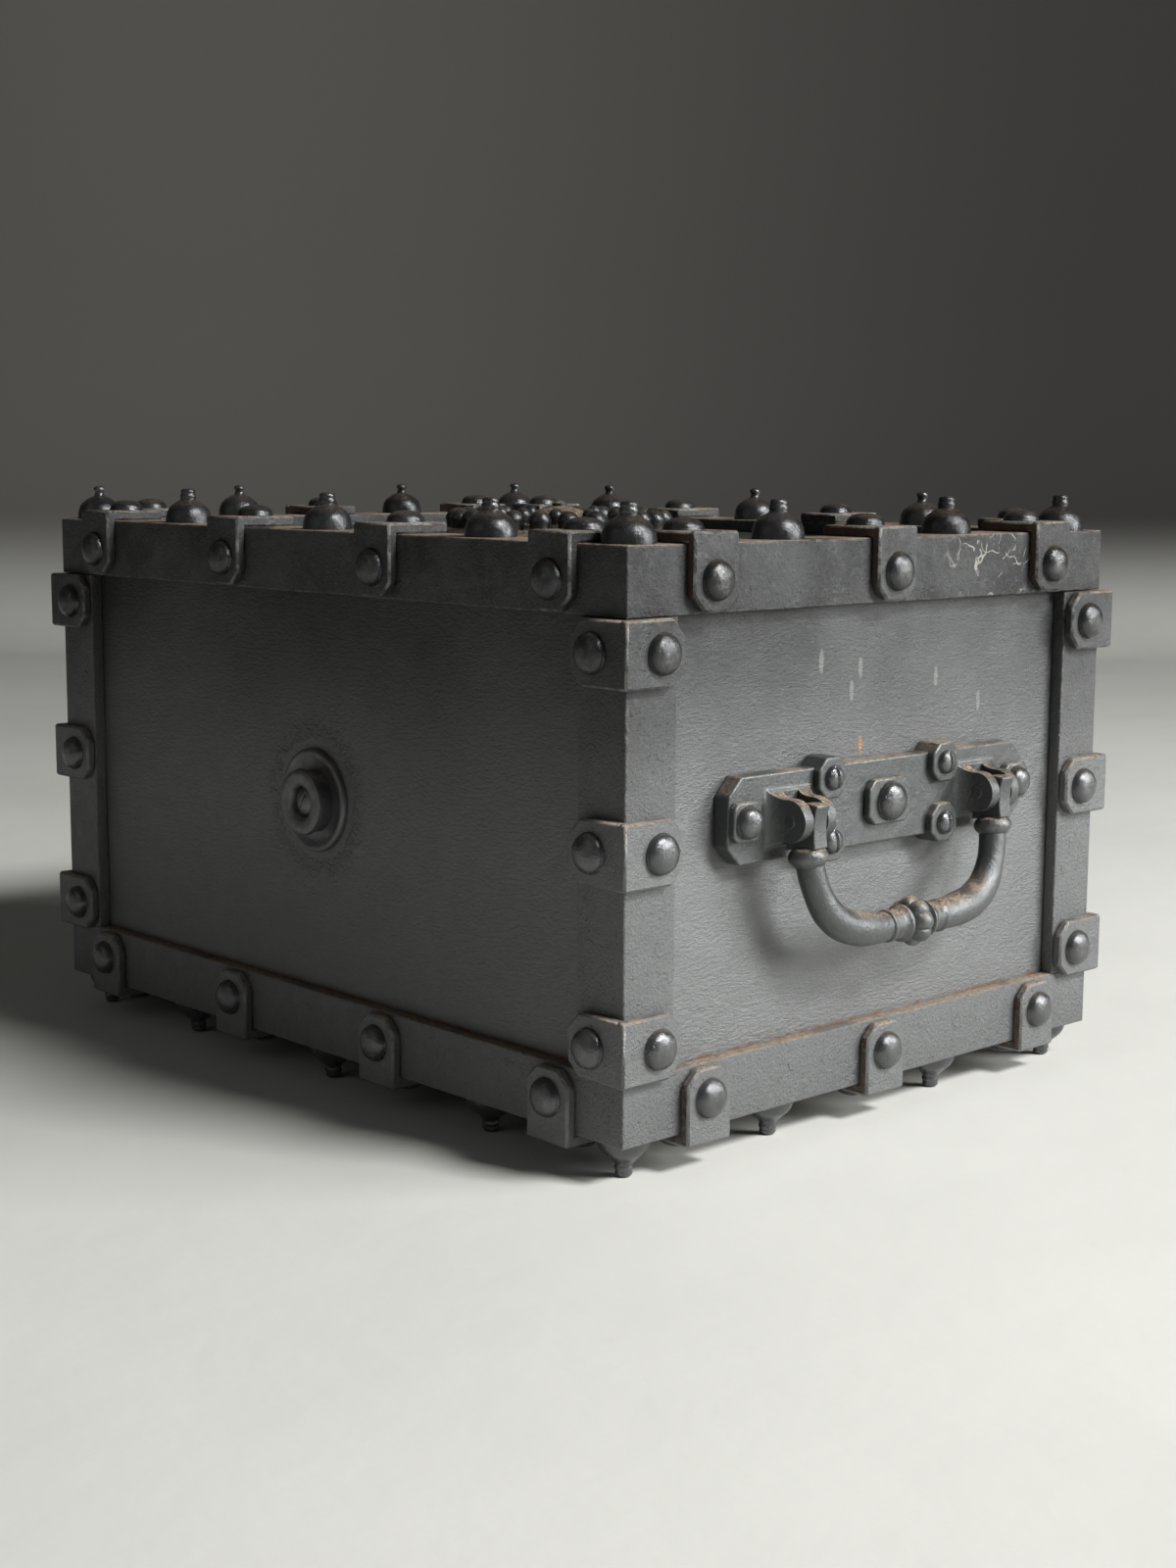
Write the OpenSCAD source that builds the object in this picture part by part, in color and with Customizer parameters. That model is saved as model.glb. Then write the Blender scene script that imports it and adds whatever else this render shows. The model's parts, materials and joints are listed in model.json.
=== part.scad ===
// Riveted iron strongbox: a body of panels and angle irons, a hinged lid with its bolt lock, two bails.
// The origin is the middle of the footprint, level with the tips of the feet. +X runs along the long
// side, -Y is the front, +Z is up. Sizes are in millimetres.

/* [Box] */
// Length over the angle irons
box_l = 530; // [500:5:640]
// Depth over the angle irons
box_w = 392; // [376:4:480]
// Height over the angle irons, without feet and finials
box_h = 300; // [270:5:400]
// Gap between the rims of the lid and the body
seam_gap = 0.6; // [0.3:0.1:1.2]

/* [Irons and panels] */
// Leg of the angle irons
iron_leg = 35; // [33:1:42]
// Thickness of the angle irons
iron_t = 8; // [7.5:0.5:12]
// Thickness of the panels
panel_t = 6; // [4:0.5:8]
// Width of the rails inside the rim of the body
rail_leg = 20; // [18:1:24]
// Height of those rails
rail_h = 22; // [18:1:30]
// Thickness of those rails
rail_t = 5; // [4:0.5:6]

/* [Clips] */
// Edge clips on a long side
clips_long = 4; // [3:1:5]
// Edge clips on a short side
clips_short = 3; // [2:1:4]
// Middle of the outer clip of a long side, from the corner
clip_end_long = 50.5; // [44:0.5:58]
// Middle of the outer clip of a short side, from the corner
clip_end_short = 56; // [46:0.5:62]
// Width of the edge clips
clip_w = 32; // [26:1:36]
// Thickness of all the clips
clip_t = 6; // [4:0.5:7]
// Cut across the corners of the clips
clip_cut = 8; // [4:0.5:10]
// Iron that an edge clip leaves bare
clip_margin = 3; // [2:0.5:6]
// Leg of the corner clips
corner_leg = 35; // [32:1:40]
// Height of the corner clips
corner_h = 34; // [28:1:40]
// How far the lowest corner clips lap over the base irons
corner_lap = 2; // [1:0.5:2]

/* [Rivets and finials] */
// Diameter of the domed rivet heads
rivet_d = 20; // [16:1:22]
// Height of those heads
rivet_h = 6.5; // [5:0.5:8]
// Diameter of the rivet shanks
shank_d = 7; // [5:0.5:9]
// Distance of rivets and finials from the edge of the box
edge_inset = 18; // [16:0.5:20]
// Distance of the corner clips' rivets from the corner
corner_inset = 19; // [16:0.5:21]
// Diameter of the flush rivets that hold the panels
flush_d = 9; // [7:0.5:11]
// Distance of the flush rivets from the corner
flush_inset = 25; // [24:0.5:27]
// Height of the lowest flush rivets above the underside of the irons
flush_z = 22; // [20:0.5:28]
// Diameter of the finials and feet
finial_d = 28; // [24:1:30]
// Height of their dome
finial_dome = 13; // [10:0.5:14]
// Full height of the finials and feet
finial_h = 21; // [20:0.5:28]
// Diameter of their button
button_d = 8.5; // [7:0.5:10]
// Diameter of their stems
stem_d = 8; // [6:0.5:10]

/* [Front boss] */
// Height of the boss above the underside of the irons
boss_z = 145; // [100:1:180]
// Diameter of the dished ring
boss_ring_d = 60; // [50:1:80]
// Diameter of the raised disc
boss_disc_d = 36; // [30:1:40]
// How far the disc stands out of the panel
boss_disc_h = 9; // [7:0.5:12]
// Diameter of the screw in the middle
boss_screw_d = 18; // [14:0.5:20]

/* [Handles] */
// Length of the handle plate
grip_plate_l = 246; // [240:2:280]
// Height of the handle plate
grip_plate_h = 46; // [44:1:56]
// Thickness of the handle plate
grip_plate_t = 10.5; // [8:0.5:12]
// Cut across the corners of the handle plate
grip_plate_cut = 9.5; // [6:0.5:12]
// Middle of the handle plate above the underside of the irons
grip_plate_z = 158; // [150:1:180]
// How far the handles sit off the middle of their side, towards the front
handle_shift = 3; // [0:1:12]
// Distance between the bail's pivots
bail_span = 156; // [152:1:160]
// How far the pivots stand out of the handle plate
pivot_out = 12; // [12:0.5:15]
// Height of the pivots against the middle of the plate
bail_rise = -1; // [-4:0.5:2]
// Drop from the pivots to the middle of the bail's bar
bail_drop = 63.5; // [60:0.5:75]
// Radius of the bail's bends
bail_bend = 30; // [24:1:30]
// Slant of the bail's legs
bail_slant = 20; // [14:1:22]
// Lean at which the bail hangs, with its knuckles against the brackets
bail_lean = 8; // [4:1:10]
// Diameter of the bail's legs
bail_d = 15; // [12:0.5:16]
// Diameter of the pivot pins
pivot_d = 8; // [6:0.5:10]
// Square of the screw pads
pad_w = 22; // [20:0.5:23]
// Distance of the screw pads from the middle, along the plate
pad_x = 47.5; // [44:0.5:48]
// Distance of the screw pads from the middle, up and down
pad_z = 17; // [15:0.5:20]
// Square of the end pads, which lie flush with the ends of the plate
end_pad_w = 20.5; // [19:0.5:22]

/* [Lid ornament] */
// Diameter of the ornament's plate
rose_d = 160; // [150:2:180]
// Thickness of that plate
rose_t = 6; // [4:0.5:8]
// Lobes round the ornament
rose_lobes_n = 24; // [16:1:26]
// Diameter of a lobe
lobe_d = 14; // [10:0.5:15]
// Height of a lobe
lobe_h = 12; // [9:0.5:16]
// Small knobs round the keyhole cover
knobs_n = 12; // [8:1:16]
// Diameter of a knob
knob_d = 10; // [8:0.5:12]
// Diameter of the keyhole cover
cover_d = 52; // [46:1:56]
// Height of the keyhole cover
cover_h = 16; // [12:0.5:18]

/* [Lock] */
// Travel of the bolts
bolt_travel = 13; // [11:0.5:14]
// Width of the bolts
bolt_w = 20; // [16:1:22]
// Thickness of the bolts
bolt_t = 8; // [6:0.5:9]
// Gap between the drawn bolts and the rails
bolt_gap = 2.5; // [1.5:0.5:4]
// Distance of the forked bolts' tongues from the middle
tongue_x = 100; // [85:1:120]
// Diameter of the spindle
spindle_d = 14; // [14:0.5:16]
// Radius of the bolts' follower pins on the cam, with the bolts drawn
follower_r = 22; // [22:0.5:26]
// Diameter of the follower pins
follower_d = 7; // [5:0.5:8]

/* [Hinges] */
// Length of a hinge
hinge_l = 60; // [50:2:70]
// How far the hinge axis stands behind the irons
hinge_out = 7; // [7:0.25:7.5]
// Diameter of the hinge knuckles
hinge_d = 11; // [9:0.5:11]
// Diameter of the hinge pins
hinge_pin_d = 5; // [4:0.5:6]

/* [Hidden] */
$fn = 64;

// Clearances
fixed_fit = 0.1;      // between a hole and the rivet, stem or screw fixed in it
turning_fit = 0.06;   // between a bore and the shaft or pin that turns in it
side_fit = 0.5;       // beside knuckles, cheeks and bolts
eps = 0.5;            // how far cuts run past a face, and unions into each other

// Heights
base_z = finial_h;
top_z = base_z + box_h;
seam_z = top_z - iron_leg;
rim_z = seam_z - seam_gap;
lid_face_z = top_z - iron_t;
lid_under_z = lid_face_z - panel_t;
wall = iron_t + panel_t;

// Colours
black_iron = "#2e3033";
panel_black = "#35373a";
worn_iron = "#3b3d40";
dark_steel = "#44464a";
bright_steel = "#6a6c6e";

// Places along the sides. Side 0 is the front, 1 the right, 2 the back, 3 the left.
function spread(n, half) = [for (i = [0 : n - 1]) -half + 2 * half * i / (n - 1)];
function half_out(k) = (k % 2 == 0 ? box_w : box_l) / 2;
function half_len(k) = half_out(k + 1);
function clips_along(k) = k % 2 == 0
    ? spread(clips_long, half_len(k) - clip_end_long)
    : spread(clips_short, half_len(k) - clip_end_short);
function mids(p) = [for (i = [0 : len(p) - 2]) (p[i] + p[i + 1]) / 2];
function finials_along(k) = mids(clips_along(k));

// In the frame of a side, y = 0 is the outer face of the irons, -y is outwards, x runs along it
module on_side(k) {
    rotate([0, 0, 90 * k])
        translate([0, -half_out(k), 0])
            children();
}

// In the frame of corner k, between side k and the next one, the irons lie at -x and +y
module on_corner(k) {
    rotate([0, 0, 90 * k])
        translate([half_len(k), -half_out(k), 0])
            children();
}

// Raises an outline of x and z outwards, from y = 0 to y = -t
module outward(t) {
    rotate([90, 0, 0])
        linear_extrude(t)
            children();
}

// Runs an outline of y and z along x
module along_x(length) {
    rotate([90, 0, 90])
        linear_extrude(length, center = true)
            children();
}

// A round hole or shank through a side, from y = -out to y = depth
module drill_y(d, out, depth) {
    translate([0, depth, 0])
        rotate([90, 0, 0])
            cylinder(d = d, h = out + depth);
}

module drill_z(d, low, high) {
    translate([0, 0, low])
        cylinder(d = d, h = high - low);
}

// Keeps what lies between the mitres of side k, down to a depth y
module mitred(k, depth) {
    half = half_len(k);
    intersection() {
        children();
        linear_extrude(top_z + finial_h)
            polygon([[-half, 0], [half, 0], [half - depth, depth], [depth - half, depth]]);
    }
}

function eight_sided(w, h, cut) = [
    [cut - w / 2, -h / 2], [w / 2 - cut, -h / 2], [w / 2, cut - h / 2], [w / 2, h / 2 - cut],
    [w / 2 - cut, h / 2], [cut - w / 2, h / 2], [-w / 2, h / 2 - cut], [-w / 2, cut - h / 2]
];

// A dome of diameter d on z = 0
module dome(d, h) {
    ball = (d * d / 4 + h * h) / (2 * h);
    intersection() {
        translate([0, 0, h - ball])
            sphere(ball);
        cylinder(d = d + 1, h = h + 1);
    }
}

// A domed rivet with its head on z = 0 and its shank below
module rivet(d, h, grip, shank) {
    dome(d, h);
    drill_z(shank, -grip, eps);
}

// A finial on z = 0: a dome, a waist and a button with a flat end, and a stem below
module finial(grip) {
    dome(finial_d, finial_dome);
    drill_z(stem_d, -grip, eps);
    r = button_d / 2;
    waist_z = finial_h - 0.65 * button_d;
    rotate_extrude()
        polygon([
            [0, finial_dome - 0.5 * r], [1.6 * r, finial_dome - 0.5 * r],
            [0.95 * r, waist_z - 0.28 * r], [0.8 * r, waist_z],
            [0.95 * r, waist_z + 0.23 * r], [r, waist_z + 0.6 * r],
            [0.88 * r, waist_z + r], [0.6 * r, finial_h], [0, finial_h]
        ]);
}

// Every finial's place on the lid, or foot's place on the base
module finial_places() {
    for (k = [0 : 3]) {
        on_side(k)
            for (x = finials_along(k))
                translate([x, edge_inset, 0])
                    children();
        on_corner(k)
            translate([-edge_inset, edge_inset, 0])
                children();
    }
}

// Side panels
module side_panel(k) {
    width = 2 * half_len(k) - 2 * (k % 2 == 0 ? iron_t : wall);
    low = base_z + iron_t;
    on_side(k)
        difference() {
            translate([-width / 2, iron_t, low])
                cube([width, panel_t, rim_z - low]);
            flush_places(k)
                drill_y(flush_d + 2 * fixed_fit, 0, wall + eps);
            if (k == 0)
                translate([0, 0, base_z + boss_z])
                    drill_y(boss_stem_d + 2 * fixed_fit, 0, wall + eps);
            if (k == 2)
                hinge_places()
                    hinge_rivet_places(-1)
                        drill_y(hinge_rivet_d + 2 * fixed_fit, 0, wall + eps);
            if (k % 2 == 1)
                handle_place(k)
                    handle_holes(panel_t + eps);
        }
}

module front_panel() {
    color(panel_black) side_panel(0);
}

module right_panel() {
    color(panel_black) side_panel(1);
}

module back_panel() {
    color(panel_black) side_panel(2);
}

module left_panel() {
    color(panel_black) side_panel(3);
}

module bottom_plate() {
    color(panel_black)
        translate([wall - box_l / 2, wall - box_w / 2, base_z + iron_t])
            cube([box_l - 2 * wall, box_w - 2 * wall, panel_t]);
}

// Flush rivets: on the upright irons halfway between the corner clips, on the base under the finials
corner_z = [
    base_z + iron_leg - corner_lap + corner_h / 2,
    (base_z + iron_leg - corner_lap + rim_z) / 2,
    rim_z - corner_h / 2
];

module flush_places(k) {
    for (side = [-1, 1])
        for (z = mids(corner_z))
            translate([side * (half_len(k) - flush_inset), 0, z])
                children();
    for (x = finials_along(k))
        translate([x, 0, base_z + flush_z])
            children();
}

// These and the rivets of the hinges' body leaves go through the panels
module panel_rivets() {
    color(black_iron) {
        for (k = [0 : 3])
            on_side(k)
                flush_places(k)
                    drill_y(flush_d, 0, wall);
        hinge_rivets(-1);
    }
}

// Base irons
module base_iron(k) {
    on_side(k)
        difference() {
            mitred(k, iron_leg)
                translate([0, 0, base_z])
                    along_x(2 * half_len(k))
                        polygon([
                            [0, 0], [iron_leg, 0], [iron_leg, iron_t],
                            [iron_t, iron_t], [iron_t, iron_leg], [0, iron_leg]
                        ]);
            for (x = clips_along(k)) {
                translate([x, 0, base_z + edge_inset])
                    drill_y(shank_d + 2 * fixed_fit, eps, iron_t + eps);
                translate([x, edge_inset, base_z])
                    drill_z(shank_d + 2 * fixed_fit, -eps, iron_t + eps);
            }
            for (x = concat(finials_along(k), [edge_inset - half_len(k), half_len(k) - edge_inset]))
                translate([x, edge_inset, base_z])
                    drill_z(stem_d + 2 * fixed_fit, -eps, iron_t + eps);
            flush_places(k)
                drill_y(flush_d + 2 * fixed_fit, eps, iron_t + eps);
        }
}

module base_iron_front() {
    color(black_iron) base_iron(0);
}

module base_iron_right() {
    color(black_iron) base_iron(1);
}

module base_iron_back() {
    color(black_iron) base_iron(2);
}

module base_iron_left() {
    color(black_iron) base_iron(3);
}

// Upright corner irons, from the base irons to the rim
module corner_iron(k) {
    low = base_z + iron_leg;
    on_corner(k)
        difference() {
            translate([0, 0, low])
                linear_extrude(rim_z - low)
                    polygon([
                        [0, 0], [-iron_leg, 0], [-iron_leg, iron_t],
                        [-iron_t, iron_t], [-iron_t, iron_leg], [0, iron_leg]
                    ]);
            for (z = corner_z)
                corner_rivet_places(z)
                    drill_y(shank_d + 2 * fixed_fit, eps, iron_t + eps);
            for (z = mids(corner_z)) {
                translate([-flush_inset, 0, z])
                    drill_y(flush_d + 2 * fixed_fit, eps, iron_t + eps);
                translate([0, flush_inset, z])
                    rotate([0, 0, 90])
                        drill_y(flush_d + 2 * fixed_fit, eps, iron_t + eps);
            }
        }
}

module corner_iron_front_right() {
    color(black_iron) corner_iron(0);
}

module corner_iron_back_right() {
    color(black_iron) corner_iron(1);
}

module corner_iron_back_left() {
    color(black_iron) corner_iron(2);
}

module corner_iron_front_left() {
    color(black_iron) corner_iron(3);
}

// One place on each leg of a corner, with -y outwards
module corner_rivet_places(z) {
    translate([-corner_inset, 0, z])
        children();
    translate([0, corner_inset, z])
        rotate([0, 0, 90])
            children();
}

// A corner clip's leg, from the far face of the other leg to its cut end
module corner_clip_leg() {
    half = corner_h / 2;
    outward(clip_t)
        polygon([
            [clip_t, -half], [clip_t, half], [clip_cut - corner_leg, half],
            [-corner_leg, half - clip_cut], [-corner_leg, clip_cut - half], [clip_cut - corner_leg, -half]
        ]);
}

module corner_clips() {
    color(worn_iron)
        for (k = [0 : 3])
            on_corner(k)
                for (z = corner_z)
                    difference() {
                        translate([0, 0, z]) {
                            corner_clip_leg();
                            rotate([0, 0, 90])
                                mirror([1, 0, 0])
                                    corner_clip_leg();
                        }
                        corner_rivet_places(z)
                            drill_y(shank_d + 2 * fixed_fit, clip_t + eps, eps);
                    }
}

module corner_rivets() {
    color(worn_iron)
        for (k = [0 : 3])
            on_corner(k)
                for (z = corner_z)
                    corner_rivet_places(z)
                        translate([0, -clip_t, 0])
                            rotate([90, 0, 0])
                                rivet(rivet_d, rivet_h, clip_t + iron_t, shank_d);
}

// An edge clip of the lid: y = 0 is the irons' outer face, z = 0 their top
module edge_clip() {
    drop = iron_leg - clip_margin;
    half = clip_w / 2;
    difference() {
        union() {
            outward(clip_t)
                polygon([
                    [-half, clip_t], [half, clip_t], [half, clip_cut - drop],
                    [half - clip_cut, -drop], [clip_cut - half, -drop], [-half, clip_cut - drop]
                ]);
            translate([-half, -clip_t, 0])
                cube([clip_w, clip_t + iron_leg, clip_t]);
        }
        translate([0, 0, -edge_inset])
            drill_y(shank_d + 2 * fixed_fit, clip_t + eps, eps);
        translate([0, edge_inset, 0])
            drill_z(shank_d + 2 * fixed_fit, -eps, clip_t + eps);
    }
}

// The two rivets of an edge clip, in the same frame
module edge_clip_rivets() {
    translate([0, -clip_t, -edge_inset])
        rotate([90, 0, 0])
            rivet(rivet_d, rivet_h, clip_t + iron_t, shank_d);
    translate([0, edge_inset, clip_t])
        rivet(rivet_d, rivet_h, clip_t + iron_t, shank_d);
}

module lid_clip_places() {
    for (k = [0 : 3])
        on_side(k)
            for (x = clips_along(k))
                translate([x, 0, top_z])
                    children();
}

module base_clip_places() {
    for (k = [0 : 3])
        on_side(k)
            for (x = clips_along(k))
                translate([x, 0, base_z])
                    mirror([0, 0, 1])
                        children();
}

module base_clips() {
    color(worn_iron) base_clip_places() edge_clip();
}

module base_rivets() {
    color(worn_iron) base_clip_places() edge_clip_rivets();
}

module lid_clips() {
    color(worn_iron) lid_clip_places() edge_clip();
}

module lid_rivets() {
    color(worn_iron) {
        lid_clip_places() edge_clip_rivets();
        hinge_rivets(1);
    }
}

module feet() {
    color(worn_iron)
        translate([0, 0, base_z])
            mirror([0, 0, 1])
                finial_places()
                    finial(iron_t);
}

module lid_finials() {
    color(worn_iron)
        translate([0, 0, top_z])
            finial_places()
                finial(wall);
}

// Rails inside the rim, which the bolts catch under
module rim_rail(k) {
    on_side(k)
        mitred(k, wall + rail_leg)
            translate([0, wall, rim_z])
                along_x(2 * half_len(k))
                    polygon([
                        [0, 0], [rail_leg, 0], [rail_leg, -rail_t],
                        [rail_t, -rail_t], [rail_t, -rail_h], [0, -rail_h]
                    ]);
}

module rim_rail_front() {
    color(dark_steel) rim_rail(0);
}

module rim_rail_right() {
    color(dark_steel) rim_rail(1);
}

module rim_rail_back() {
    color(dark_steel) rim_rail(2);
}

module rim_rail_left() {
    color(dark_steel) rim_rail(3);
}

// Lid irons and panel
module lid_iron(k) {
    on_side(k)
        difference() {
            mitred(k, iron_leg)
                translate([0, 0, top_z])
                    along_x(2 * half_len(k))
                        polygon([
                            [0, 0], [iron_leg, 0], [iron_leg, -iron_t],
                            [iron_t, -iron_t], [iron_t, -iron_leg], [0, -iron_leg]
                        ]);
            for (x = clips_along(k)) {
                translate([x, 0, top_z - edge_inset])
                    drill_y(shank_d + 2 * fixed_fit, eps, iron_t + eps);
                translate([x, edge_inset, top_z])
                    drill_z(shank_d + 2 * fixed_fit, -iron_t - eps, eps);
            }
            for (x = concat(finials_along(k), [edge_inset - half_len(k), half_len(k) - edge_inset]))
                translate([x, edge_inset, top_z])
                    drill_z(stem_d + 2 * fixed_fit, -iron_t - eps, eps);
            if (k == 2)
                hinge_places()
                    hinge_rivet_places(1)
                        drill_y(hinge_rivet_d + 2 * fixed_fit, eps, iron_t + eps);
        }
}

module lid_iron_front() {
    color(black_iron) lid_iron(0);
}

module lid_iron_right() {
    color(black_iron) lid_iron(1);
}

module lid_iron_back() {
    color(black_iron) lid_iron(2);
}

module lid_iron_left() {
    color(black_iron) lid_iron(3);
}

module lid_panel() {
    color(panel_black)
        difference() {
            translate([iron_t - box_l / 2, iron_t - box_w / 2, lid_under_z])
                cube([box_l - 2 * iron_t, box_w - 2 * iron_t, panel_t]);
            finial_places()
                drill_z(stem_d + 2 * fixed_fit, lid_under_z - eps, lid_face_z + eps);
            drill_z(spindle_d + 2 * turning_fit, lid_under_z - eps, lid_face_z + eps);
        }
}

// Hinges: the axis runs along x at y = -hinge_out, level with the lid's rim
hinge_x = max(finials_along(2));
hinge_rivet_d = 6;
hinge_head_d = 11;
hinge_head_h = 2.5;
hinge_rivet_edge = 11;
leaf_t = 4;
body_leaf_h = 58;
lid_leaf_h = iron_leg - 4;
knuckles_n = 5;
knuckle_l = hinge_l / knuckles_n;

module hinge_places() {
    for (side = [-1, 1])
        translate([side * hinge_x, 0, seam_z])
            children();
}

// Two rivets in a leaf, above the axis (part = 1) or below it (part = -1)
module hinge_rivet_places(part) {
    z = part > 0 ? lid_leaf_h - hinge_rivet_edge : hinge_rivet_edge - body_leaf_h;
    for (side = [-1, 1])
        translate([side * hinge_l * 0.3, 0, z])
            children();
}

// Every second knuckle of a hinge, from the first (0) or from the next (1)
module hinge_knuckles(first, extra) {
    for (i = [first : 2 : knuckles_n - 1])
        translate([-hinge_l / 2 + (i + 0.5) * knuckle_l, -hinge_out, 0])
            rotate([0, 90, 0])
                cylinder(
                    d = hinge_d + 2 * extra,
                    h = knuckle_l + (extra > 0 ? side_fit : -side_fit),
                    center = true
                );
}

// The webs that join the knuckles to their leaf, above or below the axis
module hinge_webs(first, part) {
    for (i = [first : 2 : knuckles_n - 1])
        translate([-hinge_l / 2 + (i + 0.5) * knuckle_l, 0, 0])
            along_x(knuckle_l - side_fit)
                polygon([
                    [0, 0], [-hinge_out, 0], [-hinge_out, part * hinge_d * 0.4],
                    [-leaf_t, part * hinge_d], [0, part * hinge_d]
                ]);
}

// A leaf with its knuckles; the body's leaf has a packing that fills the step down to the panel
module hinge_leaf(part) {
    first = part > 0 ? 1 : 0;
    height = part > 0 ? lid_leaf_h : body_leaf_h;
    edge = 1.5;
    difference() {
        union() {
            difference() {
                translate([0, 0, part * (height + edge) / 2])
                    outward(leaf_t)
                        square([hinge_l, height - edge], center = true);
                hinge_knuckles(1 - first, side_fit);
            }
            if (part < 0)
                translate([-hinge_l / 2, -eps, -height])
                    cube([hinge_l, iron_t + eps, height - edge - seam_gap]);
            hinge_webs(first, part);
            hinge_knuckles(first, 0);
        }
        translate([0, -hinge_out, 0])
            rotate([0, 90, 0])
                cylinder(d = hinge_pin_d + 2 * turning_fit, h = hinge_l + 2 * eps, center = true);
        hinge_rivet_places(part)
            drill_y(hinge_rivet_d + 2 * fixed_fit, leaf_t + eps, iron_t + eps);
    }
}

module hinge_rivets(part) {
    on_side(2)
        hinge_places()
            hinge_rivet_places(part)
                translate([0, -leaf_t, 0])
                    rotate([90, 0, 0])
                        rivet(hinge_head_d, hinge_head_h, leaf_t + (part > 0 ? iron_t : wall), hinge_rivet_d);
}

module hinge_leaves_body() {
    color(worn_iron) on_side(2) hinge_places() hinge_leaf(-1);
}

module hinge_leaves_lid() {
    color(worn_iron) on_side(2) hinge_places() hinge_leaf(1);
}

// The pins, peened over the outer knuckles, which belong to the body
module hinge_pins() {
    color(bright_steel)
        on_side(2)
            hinge_places()
                translate([0, -hinge_out, 0])
                    rotate([0, 90, 0]) {
                        cylinder(d = hinge_pin_d, h = hinge_l + 1, center = true);
                        for (side = [-1, 1])
                            translate([0, 0, side * (hinge_l / 2 + 0.75)])
                                cylinder(d = hinge_pin_d + 3, h = 1.5, center = true);
                    }
}

// Front boss
boss_stem_d = 8;

module on_boss() {
    translate([0, iron_t - box_w / 2, base_z + boss_z])
        rotate([90, 0, 0])
            children();
}

module boss_ring() {
    inner = boss_disc_d / 2 + fixed_fit;
    outer = boss_ring_d / 2;
    color(black_iron)
        on_boss()
            rotate_extrude()
                polygon([
                    [inner, 0], [outer, 0], [outer, 2], [outer - 1.5, 3.5],
                    [outer - 3.5, 3.5], [outer - 6, 2], [inner, 2]
                ]);
}

module boss_disc() {
    inner = boss_screw_d / 2 + fixed_fit;
    outer = boss_disc_d / 2;
    color(worn_iron)
        on_boss()
            rotate_extrude()
                polygon([
                    [inner, 0], [outer, 0], [outer, boss_disc_h - 2], [outer - 2, boss_disc_h],
                    [inner + 1.5, boss_disc_h], [inner, boss_disc_h - 2]
                ]);
}

module boss_screw() {
    outer = boss_screw_d / 2;
    color(dark_steel)
        on_boss()
            difference() {
                union() {
                    drill_z(boss_stem_d, -panel_t, eps);
                    rotate_extrude()
                        polygon([[0, 0], [outer, 0], [outer, 2.5], [outer * 0.45, 5.5], [0, 5.5]]);
                }
                rotate([0, 0, 60])
                    translate([-outer, -1, 3.5])
                        cube([2 * outer, 2, 3]);
            }
}

// Handles. In this frame y = 0 is the panel's face and z = 0 the middle of the plate.
pad_t = 4.5;
pad_cut = 6;
end_pad_cut = 3;
middle_pad_w = 35;
middle_pad_h = 25;
middle_pad_cut = 5;
screw_d = 14;
screw_h = 5.5;
screw_slot_w = 1.6;
screw_shank_d = 6;
middle_stud_d = 22;
end_stud_d = 18;
stud_h = 7;
tenon_d = 11;
knuckle_w = 10.2;
cheek_t = 7;
cheek_x = knuckle_w / 2 + side_fit;
nose_r = 11.2;
flare = 5.4;
root_lip = 1.5;
web_t = 3.4;
heel_gap = 0.35;
bail_out = grip_plate_t + pivot_out;

module handle_place(k) {
    translate([k == 1 ? -handle_shift : handle_shift, iron_t, base_z + grip_plate_z])
        children();
}

module on_handle(k) {
    on_side(k)
        handle_place(k)
            children();
}

module screw_places() {
    for (x = [-pad_x, pad_x])
        for (side = [-1, 1])
            translate([x, 0, side * pad_z])
                children();
}

module end_places() {
    for (side = [-1, 1])
        translate([side * (grip_plate_l - end_pad_w) / 2, 0, 0])
            children();
}

module bracket_places() {
    for (side = [-1, 1])
        translate([side * bail_span / 2, 0, bail_rise])
            children();
}

// The holes of a handle, through its plate and down to a depth in the panel
module handle_holes(depth) {
    out = grip_plate_t + eps;
    screw_places()
        drill_y(screw_shank_d + 2 * fixed_fit, out, depth);
    end_places()
        drill_y(screw_shank_d + 2 * fixed_fit, out, depth);
    drill_y(screw_shank_d + 2 * fixed_fit, out, depth);
    bracket_places()
        drill_y(tenon_d + 2 * fixed_fit, out, depth);
}

module handle_plate(k) {
    on_handle(k)
        difference() {
            outward(grip_plate_t)
                polygon(eight_sided(grip_plate_l, grip_plate_h, grip_plate_cut));
            handle_holes(eps);
        }
}

module handle_plate_right() {
    color(black_iron) handle_plate(1);
}

module handle_plate_left() {
    color(black_iron) handle_plate(3);
}

// An eight-sided pad on the handle plate, drilled for its stud
module pad(w, h, cut) {
    translate([0, -grip_plate_t, 0])
        difference() {
            outward(pad_t)
                polygon(eight_sided(w, h, cut));
            drill_y(screw_shank_d + 2 * fixed_fit, pad_t + eps, eps);
        }
}

// A screw pad laps over the plate's edge, above it (side = 1) or below it, and reaches back to the panel
module screw_pad(side) {
    difference() {
        outward(grip_plate_t + pad_t)
            polygon(eight_sided(pad_w, pad_w, pad_cut));
        rotate([0, 90 - side * 90, 0])
            translate([-pad_w, -grip_plate_t, -pad_w])
                cube([2 * pad_w, grip_plate_t + eps, pad_w + grip_plate_h / 2 - pad_z + fixed_fit]);
        drill_y(screw_shank_d + 2 * fixed_fit, grip_plate_t + pad_t + eps, eps);
    }
}

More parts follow.
